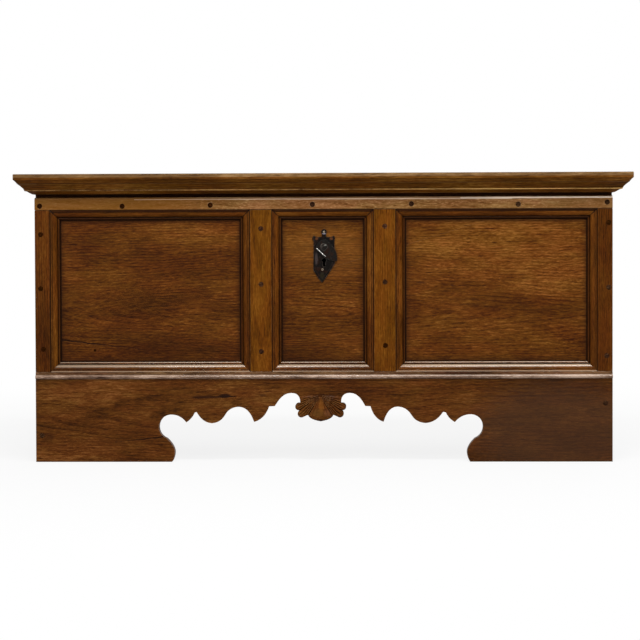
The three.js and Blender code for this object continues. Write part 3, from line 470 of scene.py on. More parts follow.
# Walls between neighbouring rings of corners, and a cap at each end
def joinRings(bm, rings):
    for first, second in zip(rings, rings[1:]):
        for index in range(len(first)):
            after = (index + 1) % len(first)
            bm.faces.new((first[index], first[after], second[after], second[index]))
    bm.faces.new(reversed(rings[0]))
    bm.faces.new(rings[-1])


# Plinth board, with its knot, its streak and the crack in the left foot
plinthOak = {
    **tones((36, 16, 4), (58, 29, 7), (82, 45, 14), (116, 75, 36)),
    "heart": (-0.1, -0.2, 0.12), "tilt": 0.03, "rings": 0.006, "wander": 0.05, "seed": 3, "wear": 0.3,
    "toneAndLightRight": -0.12, "corner": 0.01, "grimeAndShade": 0.4, "fleckStrength": 0.14, "fibreStrength": 0.5,
    "splits": [((-0.385, 0, 0.06), (-0.5, 0, 0.0475), 0.0019, 0.004),
               ((-0.21, 0, 0.157), (-0.32, 0, 0.153), 0.0014, 0.005)],
    "spots": [((-0.236, 0, 0.158), (0.02, 1, 0.0065), 0.9, paint(22, 10, 6)),
              ((-0.28, 0, 0.1555), (0.05, 1, 0.0045), 0.75, paint(34, 15, 7)),
              ((-0.145, 0, 0.16), (0.012, 1, 0.003), 0.6, paint(36, 17, 8)),
              ((-0.66, 0, 0.06), (0.016, 1, 0.012), 0.4, paint(36, 17, 8)),
              ((0.56, 0, 0.07), (0.28, 1, 0.16), 0.6, paint(62, 41, 27))],
}
dress(["plinth_board"], oakMaterial("plinthOak", plinthOak), 0.0012)

# Front board, seen as the three panels and, unfinished, from inside. It is darker to the left and lighter
# upwards as painted light, with painted shadow round the panels
frontOak = {
    **tones((38, 16, 4), (60, 29, 7), (86, 47, 12), (130, 82, 35)),
    "heart": (-0.28, -0.236, 0.36), "tilt": 0.07, "rings": 0.0065, "seed": 11,
    "toneAndLightLeft": -0.12, "lightLow": -0.08, "lightHigh": 0.08, "corner": 0.026, "grimeAndShade": 0.66,
    "patchStrength": 0.34, "fibreStrength": 0.52, "fleckStrength": 0.1, "wander": 0.055,
    "splits": [((-0.629, 0, 0.292), (-0.425, 0, 0.2685), 0.0019, 0.005)],
    "spots": [((0.235, 0, 0.428), (0.016, 1, 0.004), 0.5, paint(40, 20, 12)),
              ((0.31, 0, 0.421), (0.006, 1, 0.003), 0.5, paint(40, 20, 12)),
              ((0.01, 0, 0.5), (0.14, 1, 0.085), 0.13, paint(136, 90, 36)),
              ((0.0, 0, 0.563), (0.055, 1, 0.007), 0.35, paint(44, 22, 9)),
              ((0.2, 0, 0.235), (0.05, 1, 0.008), 0.35, paint(44, 22, 9))],
    "zones": [([((0, 1, 0), -0.2265)], rawOak)], "marksBefore": -0.2265,
    # Painted shadow along the panel edges: a dark line and a soft fall-off onto the panel
    "paintedLightLines": [(-0.0016, 0.01, 0.0012, 0.95, paint(10, 4, 2)),
                   (-0.001, 0.01, 0.014, 0.5, paint(28, 12, 4))],
}
dress(["front_board"], oakMaterial("frontOak", frontOak), 0.0008)

# Top rail: paler and speckled with flecks, darker to the left as painted light, with painted highlights along
# its upper edge and a painted shadow line along its lower edge
railOak = {
    **tones((70, 38, 14), (104, 66, 32), (138, 98, 60), (176, 138, 98)), "worn": paint(190, 160, 128),
    "heart": (0.2, -0.2, 0.63), "tilt": 0.02, "rings": 0.004, "seed": 21,
    "fibreStrength": 0.36, "patchStrength": 0.22, "fleckStrength": 0.34, "ringStrength": 0.12, "tone": 0.5,
    "toneAndLightLeft": -0.08, "toneAndLightRight": -0.02, "wear": 0.3, "coatOnWear": 0.8, "coatOnUpper": 1.0,
    "coatRoughness": 0.2, "corner": 0.006, "grimeAndShade": 0.25, "dustAndSheen": 0.3,
    # Painted highlights along the upper edge
    "highlightAndJointLines": [((0.45, 0, 0.6286), (-0.45, 0, 0.6286), 0.0024, 0.0014, 0.95, paint(208, 182, 156)),
             ((0.33, 0, 0.6302), (1.5, 0, 0.6312), 0.0025, 0.001, 0.95, paint(238, 220, 202))],
    "spots": [((-0.55, 0, 0.62), (0.36, 1, 0.06), 0.7, paint(108, 68, 18)),
              ((0.62, 0, 0.61), (0.12, 1, 0.03), 0.45, paint(104, 74, 36))],
    "paintedLightLines": [(0.0215, 0.0238, 0.0012, 0.6, paint(24, 11, 4))],
}
dress(["top_rail"], oakMaterial("railOak", railOak), 0.0014)

# Stiles and muntins, with a painted shade line beside the mouldings. The stiles grow lighter to the right as
# painted light.
muntinOak = {
    **tones((42, 18, 2), (66, 33, 3), (88, 48, 6), (120, 74, 20)),
    "along": "Z", "heart": (-0.15, -0.2, 0.4), "tilt": 0.03, "rings": 0.005, "seed": 31, "corner": 0.008,
    "fleckStrength": 0.1, "wear": 0.25, "paintedLightLines": [(0.02, 0.0236, 0.0012, 0.7, paint(20, 9, 3))],
}
dress(["left_muntin", "right_muntin"], oakMaterial("muntinOak", muntinOak))
stileOak = {
    **muntinOak, "seed": 35, "toneAndLightLeft": -0.06, "toneAndLightRight": 0.04,
    **tones((34, 14, 2), (56, 26, 4), (78, 40, 7), (108, 66, 22)),
}
dress(["left_stile", "right_stile"], oakMaterial("stileOak", stileOak))

# Mouldings round the panels, with painted shade in their hollows and along their edges, and dust, coat and a
# painted highlight where they face up
mouldingOak = {
    **tones((32, 13, 3), (58, 28, 5), (82, 43, 8), (116, 70, 24)),
    "worn": paint(108, 68, 30), "rings": 0.003, "seed": 41, "corner": 0.012, "grimeAndShade": 0.7, "seamShade": 1.0,
    "edge": 0.0016, "wear": 0.2, "dustAndSheen": 0.62, "dustAndSheenColour": paint(182, 158, 132),
    "coatOnWear": 0.15, "coatOnUpper": 1.0, "coatRoughness": 0.22, "roughness": 0.42,
}
mouldingShadeLines = [(-0.002, 0.0016, 0.001, 0.92, paint(9, 3, 1)),
                 (0.0213, 0.03, 0.0012, 0.8, paint(20, 8, 3)),
                 (0.0016, 0.0056, 0.0008, 0.5, paint(40, 19, 7))]
mitreWidth, mitreWobble = 0.0017, 0.0006
mitres = []  # the joints at the upper corners of the panels
for panel in panels:
    left, right, top = [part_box(f"{panel}_panel_{side}_moulding") for side in ("left", "right", "top")]
    for outerX, innerX in ((left[0].x, left[1].x), (right[1].x, right[0].x)):
        mitres.append(((outerX, 0, top[1].z), (innerX, 0, top[0].z), mitreWidth, mitreWobble))
topMoulding = oakMaterial("topMouldingOak", {
    **mouldingOak, "tone": 0.6, "dustAndSheen": 0.3, "coatOnUpper": 0.3, "splits": mitres,
    # A wide painted shadow under the rail and a painted shade line at the quirk
    "paintedLightLines": [mouldingShadeLines[0], (0.0192, 0.03, 0.002, 0.85, paint(14, 6, 3)),
                   (0.0016, 0.0062, 0.0008, 0.72, paint(30, 13, 6))],
})
bottomMoulding = oakMaterial("bottomMouldingOak", {
    **mouldingOak, "patchStrength": 0.5, "fleckStrength": 0.2,
    # How strong the painted sheen and the coat on the upper sides are, from left to right
    "polishAndSheen": [(0, 0.6), (0.08, 0.72), (0.16, 1), (0.4, 0.9), (0.6, 0.68), (0.68, 0.68), (0.8, 0.92),
               (1, 1)],
    # A painted highlight line along the outer fillet
    "paintedLightLines": [(0.0214, 0.03, 0.0008, 0.75, paint(176, 150, 124))],
})
uprightMoulding = oakMaterial("uprightMouldingOak", {
    **mouldingOak, "along": "Z", "seed": 43, "tone": 0.6, "paintedLightLines": mouldingShadeLines, "splits": mitres,
})
mouldingEdge = 0.0006
for panel in panels:
    for side, material in (("bottom", bottomMoulding), ("top", topMoulding), ("left", uprightMoulding),
                           ("right", uprightMoulding)):
        dress([f"{panel}_panel_{side}_moulding"], material, mouldingEdge)

# Base bead, rubbed pale and given a painted highlight that weakens to the left, below a darker flat that the
# muntins stand on
rubbedAndLitBead = {"deep": paint(54, 34, 24), "mid": paint(122, 98, 82), "light": paint(172, 148, 130)}
beadOak = {
    **mouldingOak, "seed": 47,
    **tones((40, 22, 13), (64, 40, 25), (86, 58, 38), (112, 80, 56)), "worn": paint(170, 146, 126),
    "dustAndSheen": 0.22, "wear": 0.4, "patchStrength": 1.1, "grimeAndShade": 0.35, "corner": 0.005, "fleckStrength": 0.3,
    "zones": [([((0, 0, -1), -0.209)], rubbedAndLitBead)], "toneAndLightLeft": -0.12,
    "polishAndSheen": [(0, 0.3), (0.12, 0.5), (0.3, 1), (1, 0.9)],
}
dress(["base_bead"], oakMaterial("beadOak", beadOak), 0.0008)

# Lid, cornice, ends, back, floor and battens
lidOak = {
    **tones((38, 18, 3), (64, 34, 5), (88, 51, 11), (124, 84, 36)),
    "worn": paint(156, 120, 76), "heart": (0.1, 0.0, 0.5), "tilt": 0.02, "rings": 0.006,
    "fibreStrength": 0.5, "patchStrength": 0.44,
    "wear": 0.25, "edge": 0.004, "corner": 0.01, "grimeAndShade": 0.35, "dustAndSheen": 0.12,
}
# The upper front edge of the lid is paler: worn, and with a painted highlight
wornAndLitEdge = {"deep": paint(58, 36, 17), "mid": paint(106, 78, 46), "light": paint(146, 114, 76)}
lidJoint = [((-0.75, 0, 0.667), (0.75, 0, 0.6668), 0.0022, 0.0006, 0.6, paint(58, 30, 6))]
lidBoardOak = {
    **lidOak, "highlightAndJointLines": lidJoint,
    "zones": [([((0, 0, -1), -0.6678), ((0, 1, 0), -0.26), ((1, 0, 0), -0.68), ((-1, 0, 0), -0.68)], rawOak),
              ([((0, -1, 0), 0.3052), ((0, 0, 1), 0.6805)], wornAndLitEdge)],
}
for board, seed, tone, tilt in (("front", 51, 0.56, 0.02), ("middle", 52, 0.5, -0.015),
                                ("back", 54, 0.6, 0.01)):
    boardOak = {**lidBoardOak, "seed": seed, "tone": tone, "tilt": tilt}
    dress([f"lid_{board}_board"], oakMaterial(f"lid{board.title()}Oak", boardOak), 0.0012)
corniceOak = {**lidOak, "seed": 55, "edge": 0.003, "wear": 0.1, "highlightAndJointLines": lidJoint}
dress(["front_cornice"], oakMaterial("corniceOak", corniceOak), 0.0008)
crossWood = oakMaterial("crossOak", {**lidOak, "along": "Y", "seed": 53, "edge": 0.003})
dress(["left_cornice", "right_cornice"], crossWood, 0.0008)

# Thin bead run along the front and the sides of the cornice, half sunk in its face
corniceBead = {"height": 0.651, "radius": 0.0018, "sides": 10, "shortBy": 0.001}


def runCorniceBead():
    height, radius, sides = corniceBead["height"], corniceBead["radius"], corniceBead["sides"]
    frontY = nodes["front_cornice"].ray_cast(Vector((0, -1, height)), Vector((0, 1, 0)))[1].y
    sideX = nodes["right_cornice"].ray_cast(Vector((1, 0, height)), Vector((-1, 0, 0)))[1].x
    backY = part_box("right_cornice")[1].y - corniceBead["shortBy"]
    stations = [((-sideX, backY), (-1, 0)), ((-sideX, frontY), (-1, -1)), ((sideX, frontY), (1, -1)),
                ((sideX, backY), (1, 0))]
    bm = bmesh.new()
    rings = []
    for (x, y), (outX, outY) in stations:
        ring = []
        for step in range(sides):
            angle = 2 * math.pi * step / sides
            reach = math.cos(angle) * radius
            ring.append(bm.verts.new((x + outX * reach, y + outY * reach, height + math.sin(angle) * radius)))
        rings.append(ring)
    joinRings(bm, rings)
    return bm


# Pale, and much lighter towards the right: the bead's painted highlight
beadEdge = {
    **lidOak, "seed": 57,
    **tones((56, 31, 10), (80, 49, 20), (108, 73, 36), (186, 142, 82)), "worn": paint(180, 140, 84),
    "edge": 0.003, "wear": 0.5, "coatOnUpper": 0.5, "patchStrength": 0.6, "toneAndLightLeft": -0.08,
    "toneAndLightRight": 0.42,
}
newPiece("cornice_bead", runCorniceBead(), oakMaterial("beadEdgeOak", beadEdge), "lid")

endOak = {
    "along": "Z", "heart": (0.5, 0.05, 0.3), "tilt": 0.04, "rings": 0.007,
    **tones((38, 18, 5), (66, 35, 10), (92, 54, 18), (124, 82, 40)),
}
for side, inward, seed in (("left", 1, 61), ("right", -1, 63)):
    boardOak = {**endOak, "seed": seed, "zones": [([((inward, 0, 0), -0.6695)], rawOak)]}
    dress([f"{side}_end_board"], oakMaterial(f"{side}EndOak", boardOak), 0.0015)

insideOak = {
    **rawOak, "dark": paint(98, 70, 40), "worn": paint(168, 140, 104), "grimeShadeAndCrackColour": paint(44, 30, 18),
    "heart": (0.2, 0.2, 0.2), "rings": 0.007, "roughness": 0.72, "specular": 0.15, "coatOnWear": 0.0,
    "coatOnUpper": 0.0, "wear": 0.3, "hues": 0.3, "fibreStrength": 0.5,
}
for seed, tone, names in ((71, 0.56, ["lower_back_board", "back_floor_board"]),
                          (75, 0.46, ["upper_back_board", "front_floor_board"])):
    dress(names, oakMaterial(f"insideOak{seed}", {**insideOak, "seed": seed, "tone": tone}), 0.0012)
acrossInside = oakMaterial("acrossInsideOak", {**insideOak, "along": "Y", "seed": 73})
dress(["left_floor_cleat", "right_floor_cleat", "left_lid_batten", "right_lid_batten"], acrossInside, 0.0015)
print("boards finished")

# Wooden pegs. Those of the top rail are CAD nodes, the rest are made here.
pegOak = {
    **tones((8, 3, 0), (20, 8, 1), (34, 15, 3), (60, 30, 9)),
    "worn": paint(88, 50, 22), "along": "Y", "heart": (0, 0, 0.35), "rings": 0.0022, "wander": 0.01,
    "seed": 81, "fibreStrength": 0.9, "corner": 0.004, "edge": 0.001, "wear": 0.3, "roughness": 0.4,
    "specular": 0.0, "coatOnWear": 0.0, "coatOnUpper": 0.0,
}
pegWood = oakMaterial("pegOak", pegOak)
wornPegWood = oakMaterial("wornPegOak", {
    **pegOak, "seed": 85, "grimeAndShade": 1.0,
    **tones((18, 9, 5), (32, 18, 10), (50, 30, 19), (92, 64, 44)), "worn": paint(118, 90, 68),
})
dress([f"rail_peg_{number}" for number in (1, 2, 3)], pegWood, 0.0006)
dress([f"rail_peg_{number}" for number in (4, 5, 6, 7)], wornPegWood, 0.0006)

pegs = {
    "head": {"radius": 0.006, "height": 0.0011, "sides": 9},
    "dark": [(-0.6756, 0.546), (-0.6764, 0.4165), (-0.6703, 0.271), (0.6806, 0.57), (0.149, 0.2785)],
    "worn": [(-0.1475, 0.5583), (-0.1475, 0.4255), (-0.1475, 0.2645), (0.1485, 0.563), (0.1485, 0.43),
             (0.6807, 0.4159), (0.6758, 0.253)],
    "plinth": [(-0.6754, 0.0635), (0.6729, 0.14)],
    "panelNail": [(-0.5488, 0.2675)], "panelNailHead": {"radius": 0.0032, "height": 0.0011, "sides": 9},
    "ends": [(-0.158, 0.2005), (0.036, 0.1975), (0.219, 0.2025)],
}
headShape = {
    "profile": ((1.0, -0.4), (1.0, 0.45), (0.82, 0.9), (0.4, 1.0)),  # shares of the radius and the height
    "unevenness": 0.06, "turnEach": 0.7,
}


# A low domed head whose foot lies in the surface at the given place
def addHead(bm, place, outward, head, turn):
    outward = Vector(outward).normalized()
    side = outward.orthogonal().normalized()
    up = outward.cross(side)
    rings = []
    for width, rise in headShape["profile"]:
        ring = []
        for index in range(head["sides"]):
            angle = turn + 2 * math.pi * index / head["sides"]
            uneven = 1 + headShape["unevenness"] * math.sin(3 * angle + 5 * turn)
            spread = (side * math.cos(angle) + up * math.sin(angle)) * head["radius"] * width * uneven
            ring.append(bm.verts.new(Vector(place) + spread + outward * head["height"] * rise))
        rings.append(ring)
    joinRings(bm, rings)


def headsPiece(name, places, outward, head, material, body):
    bm = bmesh.new()
    for index, place in enumerate(places):
        addHead(bm, place, outward, head, headShape["turnEach"] * index)
    newPiece(name, bm, material, body)


faces = [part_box(name)[0].y for name in ("left_stile", "plinth_board", "front_board")]
stileFront, plinthFront, panelFront = faces
for name, faceY, places, head, material in (
        ("dark_strip_pegs", stileFront, "dark", "head", pegWood),
        ("worn_strip_pegs", stileFront, "worn", "head", wornPegWood),
        ("plinth_pegs", plinthFront, "plinth", "head", wornPegWood),
        ("panel_nail", panelFront, "panelNail", "panelNailHead", pegWood)):
    headsPiece(name, [(x, faceY, z) for x, z in pegs[places]], (0, -1, 0), pegs[head], material, "carcase")
for side, outward, corner in (("left", -1, 0), ("right", 1, 1)):  # these hold the floor cleats
    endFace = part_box(f"{side}_end_board")[corner].x
    headsPiece(f"{side}_end_pegs", [(endFace, y, z) for y, z in pegs["ends"]], (outward, 0, 0), pegs["head"],
               pegWood, "carcase")
print("pegs made")

# Carved shell under the middle of the apron. It fans out from its focus to the sawn edge of the
# plinth board. Angles are in degrees from straight down, and grooves pairs of an angle and a strength.
shell = {
    "focus": (-0.0075, 0.1605), "from": -86, "to": 86, "columns": 230, "rows": 30,
    "height": 0.0043, "inset": 0.0006, "sink": 0.0012, "start": 0.07, "crowding": 1.5,
    "shortest": 0.004, "longest": 0.12, "sideFrom": 78, "sideLongest": 0.052, "fadeOver": 14,
    "fanHalf": 30, "fanDish": 0.35,
    "grooves": [(10, 0.22), (20, 0.3), (30, 0.9), (35, 0.6), (40, 0.6), (45.5, 0.6), (53, 0.95), (58, 0.6),
                (63.5, 0.6), (69, 0.6), (76, 0.8)],
    "grooveWidth": 1.5, "grooveDepth": 0.85,
}


# Rim of a node's front face, as pairs of (x, z) places
def frontRim(name):
    mesh = nodes[name].data
    front = min(vertex.co.y for vertex in mesh.vertices)
    counted = {}
    for face in mesh.polygons:
        corners = [mesh.vertices[index].co for index in face.vertices]
        if max(corner.y for corner in corners) > front + 0.0001:
            continue
        flat = [(round(corner.x, 5), round(corner.z, 5)) for corner in corners]
        for first, second in zip(flat, flat[1:] + flat[:1]):
            key = tuple(sorted((first, second)))
            counted[key] = counted.get(key, 0) + 1
    return [pair for pair, count in counted.items() if count == 1]


# How far it is from a place to the rim in one direction
def reachTo(rim, place, direction):
    best = shell["longest"]
    for (x1, z1), (x2, z2) in rim:
        alongX, alongZ = x2 - x1, z2 - z1
        turn = direction[0] * alongZ - direction[1] * alongX
        if abs(turn) < 1e-12:
            continue
        fromX, fromZ = x1 - place[0], z1 - place[1]
        distance = (fromX * alongZ - fromZ * alongX) / turn
        share = (fromX * direction[1] - fromZ * direction[0]) / turn
        if distance > shell["shortest"] and -1e-6 <= share <= 1 + 1e-6:
            best = min(best, distance)
    return best


# Height of the carving. The grooves widen and deepen on their way out, and the rim is rounded over.
def shellRise(degrees, out):
    side = abs(degrees)
    rise = 1.0
    for place, strength in shell["grooves"]:
        away = (side - place) / (shell["grooveWidth"] * (0.6 + 0.4 * out))
        rise -= shell["grooveDepth"] * strength * math.exp(-away * away) * min(1, 0.35 + out)
    if side < shell["fanHalf"]:
        rise -= shell["fanDish"] * (1 - (side / shell["fanHalf"]) ** 2) * (1 - out)
    ending = min(1, max(0, (shell["to"] - side) / shell["fadeOver"]))
    rim = max(0, 1 - out ** 9) ** 0.5
    return shell["height"] * rise * ending * rim * min(1, 0.25 + 2.2 * out)


def carveShell():
    bm = bmesh.new()
    rim = frontRim("plinth_board")
    grid = []
    for column in range(shell["columns"] + 1):
        degrees = shell["from"] + (shell["to"] - shell["from"]) * column / shell["columns"]
        angle = math.radians(degrees)
        direction = (math.sin(angle), -math.cos(angle))
        free = reachTo(rim, shell["focus"], direction)
        if abs(degrees) > shell["sideFrom"]:
            free = min(free, shell["sideLongest"])
        reach = free - shell["inset"]
        line = []
        for row in range(shell["rows"] + 1):
            out = 1 - (1 - row / shell["rows"]) ** shell["crowding"]
            distance = reach * (shell["start"] + (1 - shell["start"]) * out)
            rise = shellRise(degrees, out)
            if out > 0.999 or row == 0 or column in (0, shell["columns"]):
                rise = -shell["sink"]
            line.append(bm.verts.new((shell["focus"][0] + direction[0] * distance, plinthFront - rise,
                                      shell["focus"][1] + direction[1] * distance)))
        grid.append(line)
    for before, after in zip(grid, grid[1:]):
        for index in range(shell["rows"]):
            bm.faces.new((before[index], before[index + 1], after[index + 1], after[index]))
    return bm


shellWood = oakMaterial("shellOak", {
    **plinthOak, "splits": [], "corner": 0.006, "grimeAndShade": 0.7, "edge": 0.0022, "wear": 0.7,
    "worn": paint(128, 88, 50),
    "spots": [((-0.0045, 0, 0.134), (0.008, 1, 0.02), 0.5, paint(112, 66, 20)),
              ((-0.012, 0, 0.118), (0.018, 1, 0.013), 0.5, paint(84, 56, 22)),
              ((0.012, 0, 0.117), (0.014, 1, 0.012), 0.5, paint(92, 56, 34)),
              ((-0.0065, 0, 0.099), (0.009, 1, 0.004), 0.85, paint(24, 12, 7)),
              ((-0.0065, 0, 0.1605), (0.006, 1, 0.004), 0.9, paint(22, 11, 6)),
              ((-0.016, 0, 0.15), (0.01, 1, 0.01), 0.5, paint(44, 23, 12)),
              ((0.006, 0, 0.15), (0.01, 1, 0.01), 0.4, paint(44, 23, 12))],
    "tone": 0.68, "toneAndLightRight": 0.0, "coatOnUpper": 0.03, "coatOnWear": 0.1,
})
newPiece("carved_shell", carveShell(), shellWood, "carcase")
print("shell carved")

# Ironwork
blackIron = ironMaterial("blackIron", {})
plateIron = ironMaterial("plateIron", {
    "spots": [((-0.0145, 0, 0.534), (0.005, 1, 0.0045), 0.8, paint(84, 48, 24)),
              ((0.0205, 0, 0.534), (0.005, 1, 0.0045), 0.8, paint(84, 48, 24)),
              # A painted sheen down the left flange
              ((-0.0155, 0, 0.486), (0.005, 1, 0.019), 0.34, paint(84, 72, 70)),
              ((-0.002, 0, 0.444), (0.008, 1, 0.012), 0.3, paint(52, 44, 22)),
              # A painted highlight along the top of the plate
              ((0.003, 0, 0.5455), (0.006, 1, 0.0014), 0.8, paint(150, 140, 150))],
})
rimIron = ironMaterial("rimIron", {"colour": paint(18, 13, 11), "bright": paint(70, 62, 56), "wear": 0.25})
# Polished iron, made pale enough to carry a painted highlight along the ridge
ridgeIron = ironMaterial("ridgeIron", {
    "colour": paint(176, 172, 164), "rust": paint(120, 110, 98), "bright": paint(235, 232, 226),
    "pitLight": 0.6, "roughness": 0.28,
})
coverIron = ironMaterial("coverIron", {
    "colour": paint(22, 19, 16), "wear": 0.3, "roughness": 0.34,
    # A painted highlight on the boss
    "spots": [((0.0065, 0, 0.5185), (0.004, 1, 0.0022), 0.55, paint(112, 112, 104)),
              ((0.0215, 0, 0.497), (0.006, 1, 0.006), 0.4, paint(44, 24, 14))],
})
# Pale nail heads, whose pale colour partly serves as a painted glint
nailIron = ironMaterial("nailIron", {"colour": paint(96, 84, 70), "bright": paint(200, 184, 160), "wear": 0.8,
                                     "pitLight": 0.7, "roughness": 0.3})
dress(["escutcheon"], plateIron, 0.0011, 3)
dress(["keyhole_cover"], coverIron, 0.0007)
dress(["cover_rivet"], coverIron, 0.0003)
dress(["escutcheon_top_nail", "escutcheon_bottom_nail"], nailIron, 0.0003)
dress(["lock_plate", "lock_bolt", "bolt_spring", "lock_cover", "lid_staple"], blackIron, 0.0004)
for side in ("left", "right"):
    dress([f"{side}_hinge_strap", f"{side}_hinge_plate", f"{side}_hinge_pin"], blackIron, 0.0004)

# Raised rim, curled ears and the bright ridge of the swinging cover, in metres and degrees.
# The rim and the ears stay so low that the cover can swing over them.
ironDetails = {
    "rim": [(-0.0192, 0.528), (-0.0196, 0.51), (-0.0198, 0.49), (-0.0192, 0.464), (-0.0105, 0.4475),
            (-0.0018, 0.4375), (0.0035, 0.4435), (0.0115, 0.4545), (0.0195, 0.467), (0.0242, 0.478)],
    "rimRadius": 0.0014, "rimSunk": 0.0005, "rimFlatness": 0.6, "rimTaper": (0.4, 0.3), "ribSides": 8,
    "earCentres": [(-0.0198, 0.5345, -1), (0.0238, 0.5345, 1)], "earRadius": 0.0047, "earCloses": 0.022,
    "earThickness": 0.0013, "earThins": 0.02, "earSunk": 0.00085, "earFlatness": 0.9, "earSteps": 20,
    "earFrom": -70, "earStep": 16,
    "ridge": [(-0.0154, 0.5113), (-0.0042, 0.501), (0.0072, 0.4908)], "ridgeRadius": 0.0008,
    "ridgeProud": 0.0002, "ridgeFlatness": 0.8, "ridgeTaper": (0.5, 0.25),
    "bossPlace": (0.003, 0.514), "boss": {"radius": 0.0085, "height": 0.0009, "sides": 24},
}


# A rounded rib that follows a path, with one radius for each of its points
def addRib(bm, points, radii, flatness):
    sides = ironDetails["ribSides"]
    rings = []
    for index, point in enumerate(points):
        ahead = (points[min(index + 1, len(points) - 1)] - points[max(index - 1, 0)]).normalized()
        across = ahead.cross(Vector((0, 1, 0))).normalized()
        ring = []
        for step in range(sides):
            angle = 2 * math.pi * step / sides
            offset = across * math.cos(angle) + Vector((0, 1, 0)) * math.sin(angle) * flatness
            ring.append(bm.verts.new(point + offset * radii[index]))
        rings.append(ring)
    joinRings(bm, rings)


def roundPath(points, steps=6):
    path = []
    for index in range(len(points) - 1):
        p0, p1 = points[max(index - 1, 0)], points[index]
        p2, p3 = points[index + 1], points[min(index + 2, len(points) - 1)]
        for step in range(steps):
            t = step / steps
            path.append(0.5 * ((2 * p1) + (p2 - p0) * t + (2 * p0 - 5 * p1 + 4 * p2 - p3) * t * t
                               + (3 * p1 - p0 - 3 * p2 + p3) * t ** 3))
    return path + [points[-1]]


# A path's radii, thinner over its first and last points
def taper(path, radius, start, growth):
    ends = [min(index, len(path) - 1 - index) for index in range(len(path))]
    return [radius * min(1, start + growth * steps) for steps in ends]


plateY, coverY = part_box("escutcheon")[0].y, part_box("keyhole_cover")[0].y
bm = bmesh.new()
path = roundPath([Vector((x, plateY + ironDetails["rimSunk"], z)) for x, z in ironDetails["rim"]])
addRib(bm, path, taper(path, ironDetails["rimRadius"], *ironDetails["rimTaper"]),
       ironDetails["rimFlatness"])
earSteps = range(ironDetails["earSteps"])
for x, z, side in ironDetails["earCentres"]:
    curl = []
    for step in earSteps:
        angle = math.radians(ironDetails["earFrom"] + ironDetails["earStep"] * step)
        reach = ironDetails["earRadius"] * (1 - ironDetails["earCloses"] * step)
        curl.append(Vector((x + side * reach * math.cos(angle), plateY + ironDetails["earSunk"],
                            z + reach * math.sin(angle))))
    radii = [ironDetails["earThickness"] * (1 - ironDetails["earThins"] * step) for step in earSteps]
    addRib(bm, curl, radii, ironDetails["earFlatness"])
newPiece("escutcheon_rim_and_ears", bm, rimIron, "carcase")
bm = bmesh.new()
path = roundPath([Vector((x, coverY - ironDetails["ridgeProud"], z)) for x, z in ironDetails["ridge"]])
addRib(bm, path, taper(path, ironDetails["ridgeRadius"], *ironDetails["ridgeTaper"]),
       ironDetails["ridgeFlatness"])
newPiece("cover_ridge", bm, ridgeIron, "cover")
bossX, bossZ = ironDetails["bossPlace"]
headsPiece("cover_boss", [(bossX, coverY, bossZ)], (0, -1, 0), ironDetails["boss"], coverIron, "cover")

nails = {
    "head": {"radius": 0.0042, "height": 0.0018, "sides": 6},
    "strapSteps": (0.075, 0.15, 0.225, 0.31), "strapEye": 0.05,  # from the strap's back end
    "plateSteps": (0.03, 0.062, 0.1), "plateEye": 0.03,  # from the plate's top
    "lockCorner": 0.009, "lockPlateThickness": 0.0025,
    "backColumn": 0.678, "backHeights": (0.244, 0.318, 0.399, 0.44, 0.532, 0.626), "backUneven": 0.003,
}


def ironNails(name, places, outward, body):
    headsPiece(name, places, outward, nails["head"], blackIron, body)


for side in ("left", "right"):
    low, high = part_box(f"{side}_hinge_strap")
    corners = [vertex.co for vertex in nodes[f"{side}_hinge_strap"].data.vertices]
    under = min(corner.z for corner in corners if corner.y < high.y - nails["strapEye"])
    places = [((low.x + high.x) / 2, high.y - step, under) for step in nails["strapSteps"]]
    ironNails(f"{side}_strap_nails", places, (0, 0, -1), "lid")
    low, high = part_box(f"{side}_hinge_plate")
    corners = [vertex.co for vertex in nodes[f"{side}_hinge_plate"].data.vertices]
    face = max(corner.y for corner in corners if corner.z < high.z - nails["plateEye"])
    places = [((low.x + high.x) / 2, face, high.z - step) for step in nails["plateSteps"]]
    ironNails(f"{side}_plate_nails", places, (0, 1, 0), "carcase")
low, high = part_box("lock_plate")
inset, plateFace = nails["lockCorner"], low.y + nails["lockPlateThickness"]
places = [(x, plateFace, z) for x in (low.x + inset, high.x - inset) for z in (low.z + inset, high.z - inset)]
ironNails("lock_plate_nails", places, (0, 1, 0), "carcase")
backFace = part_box("lower_back_board")[1].y
places = [(side * nails["backColumn"], backFace, z + nails["backUneven"] * side)
          for side in (-1, 1) for z in nails["backHeights"]]
ironNails("back_nails", places, (0, 1, 0), "carcase")
print("ironwork finished")

# Floor, world, lamps and camera
stage = {
    "floorColour": (0.6, 0.6, 0.6, 1), "floorHalf": 30, "floorRoughness": 0.9, "floorSpecular": 0.1,
    "worldLevel": 0.4, "glow": 1.0,
    "whiteShare": 0.86, "whiteFrom": 0.8, "whiteTo": 2.6,  # the floor is whiter away from the chest
}


def anyOf(tree, names):
    path = tree.nodes.new("ShaderNodeLightPath")
    total = path.outputs[names[0]]
    for name in names[1:]:
        total = plus(total, path.outputs[name], True)
    return total


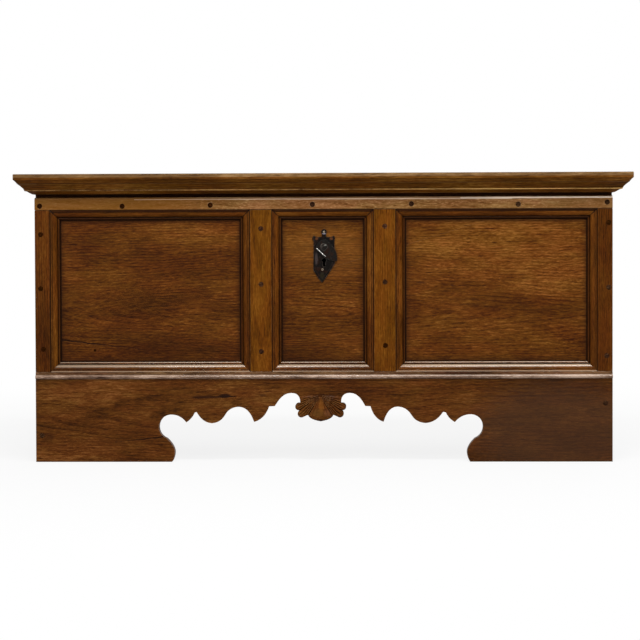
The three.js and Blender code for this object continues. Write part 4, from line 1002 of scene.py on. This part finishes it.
seenRays = ("Is Camera Ray", "Is Glossy Ray", "Is Transmission Ray")
half = stage["floorHalf"]
floorMesh = bpy.data.meshes.new("floor")
corners = [(-half, -half, 0), (half, -half, 0), (half, half, 0), (-half, half, 0)]
floorMesh.from_pydata(corners, [], [(0, 1, 2, 3)])
floor = bpy.data.objects.new("floor", floorMesh)
bpy.context.scene.collection.objects.link(floor)
floorMaterial, tree, shader = newMaterial("paleFloor")
for name, value in (("Base Color", "floorColour"), ("Roughness", "floorRoughness"),
                    ("Specular IOR Level", "floorSpecular")):
    shader.inputs[name].default_value = stage[value]
glow = tree.nodes.new("ShaderNodeEmission")
glow.inputs["Strength"].default_value = stage["glow"]
place = tree.nodes.new("ShaderNodeTexCoord").outputs["Object"]
away = calcVector("LENGTH", place, result="Value")
white = remap(away, stage["whiteFrom"], stage["whiteTo"], stage["whiteShare"], 1.0)
glowShare = times(anyOf(tree, seenRays), white)
both = makeNode("ShaderNodeMixShader", {0: glowShare, 1: shader.outputs[0], 2: glow.outputs[0]})[0]
feed(tree.nodes["Material Output"].inputs["Surface"], both)
floorMesh.materials.append(floorMaterial)

world = bpy.data.worlds.new("softRoom")
bpy.context.scene.world = world
world.use_nodes = True
tree = world.node_tree
background = tree.nodes["Background"]
background.inputs["Color"].default_value = (1, 1, 1, 1)
feed(background.inputs["Strength"], remap(anyOf(tree, seenRays), 0, 1, stage["worldLevel"], 1.0))

lamps = {
    "overhead": {"place": (0.35, -1.75, 2.9), "size": (2.4, 0.6), "power": 100},
    "strip": {"place": (0.1, -3.3, 2.25), "size": (1.9, 0.22), "power": 36},
    "fill": {"place": (-2.2, -3.4, 1.3), "size": (2.2, 1.6), "power": 22},
    "backFill": {"place": (0.6, 3.4, 2.2), "size": (2.4, 1.4), "power": 60},
}
lampAim = Vector((0, 0, 0.38))
for name, lamp in lamps.items():
    light = bpy.data.lights.new(name, "AREA")
    light.shape = "RECTANGLE"
    light.size, light.size_y = lamp["size"]
    light.energy = lamp["power"]
    holder = bpy.data.objects.new(name, light)
    bpy.context.scene.collection.objects.link(holder)
    holder.location = lamp["place"]
    aim = lampAim - holder.location
    holder.rotation_euler = aim.to_track_quat("-Z", "Y").to_euler()

view = {"place": (0.1092, -4.8108, 0.52), "turn": 1.459, "down": 1.444, "lean": -0.2, "lens": 107.19,
        "shift": -0.043, "film": 36, "reach": 100}
camera = bpy.data.objects.new("camera", bpy.data.cameras.new("camera"))
bpy.context.scene.collection.objects.link(camera)
bpy.context.scene.camera = camera
camera.location = view["place"]
level = Euler((math.radians(90 - view["down"]), 0, math.radians(view["turn"]))).to_matrix()
camera.rotation_euler = (level @ Matrix.Rotation(math.radians(view["lean"]), 3, "Z")).to_euler()
camera.data.lens = view["lens"]
camera.data.sensor_width = view["film"]
camera.data.shift_y = view["shift"]
camera.data.clip_end = view["reach"]
bpy.context.scene.view_settings.view_transform = "Standard"
print("stage, lamps and camera set")
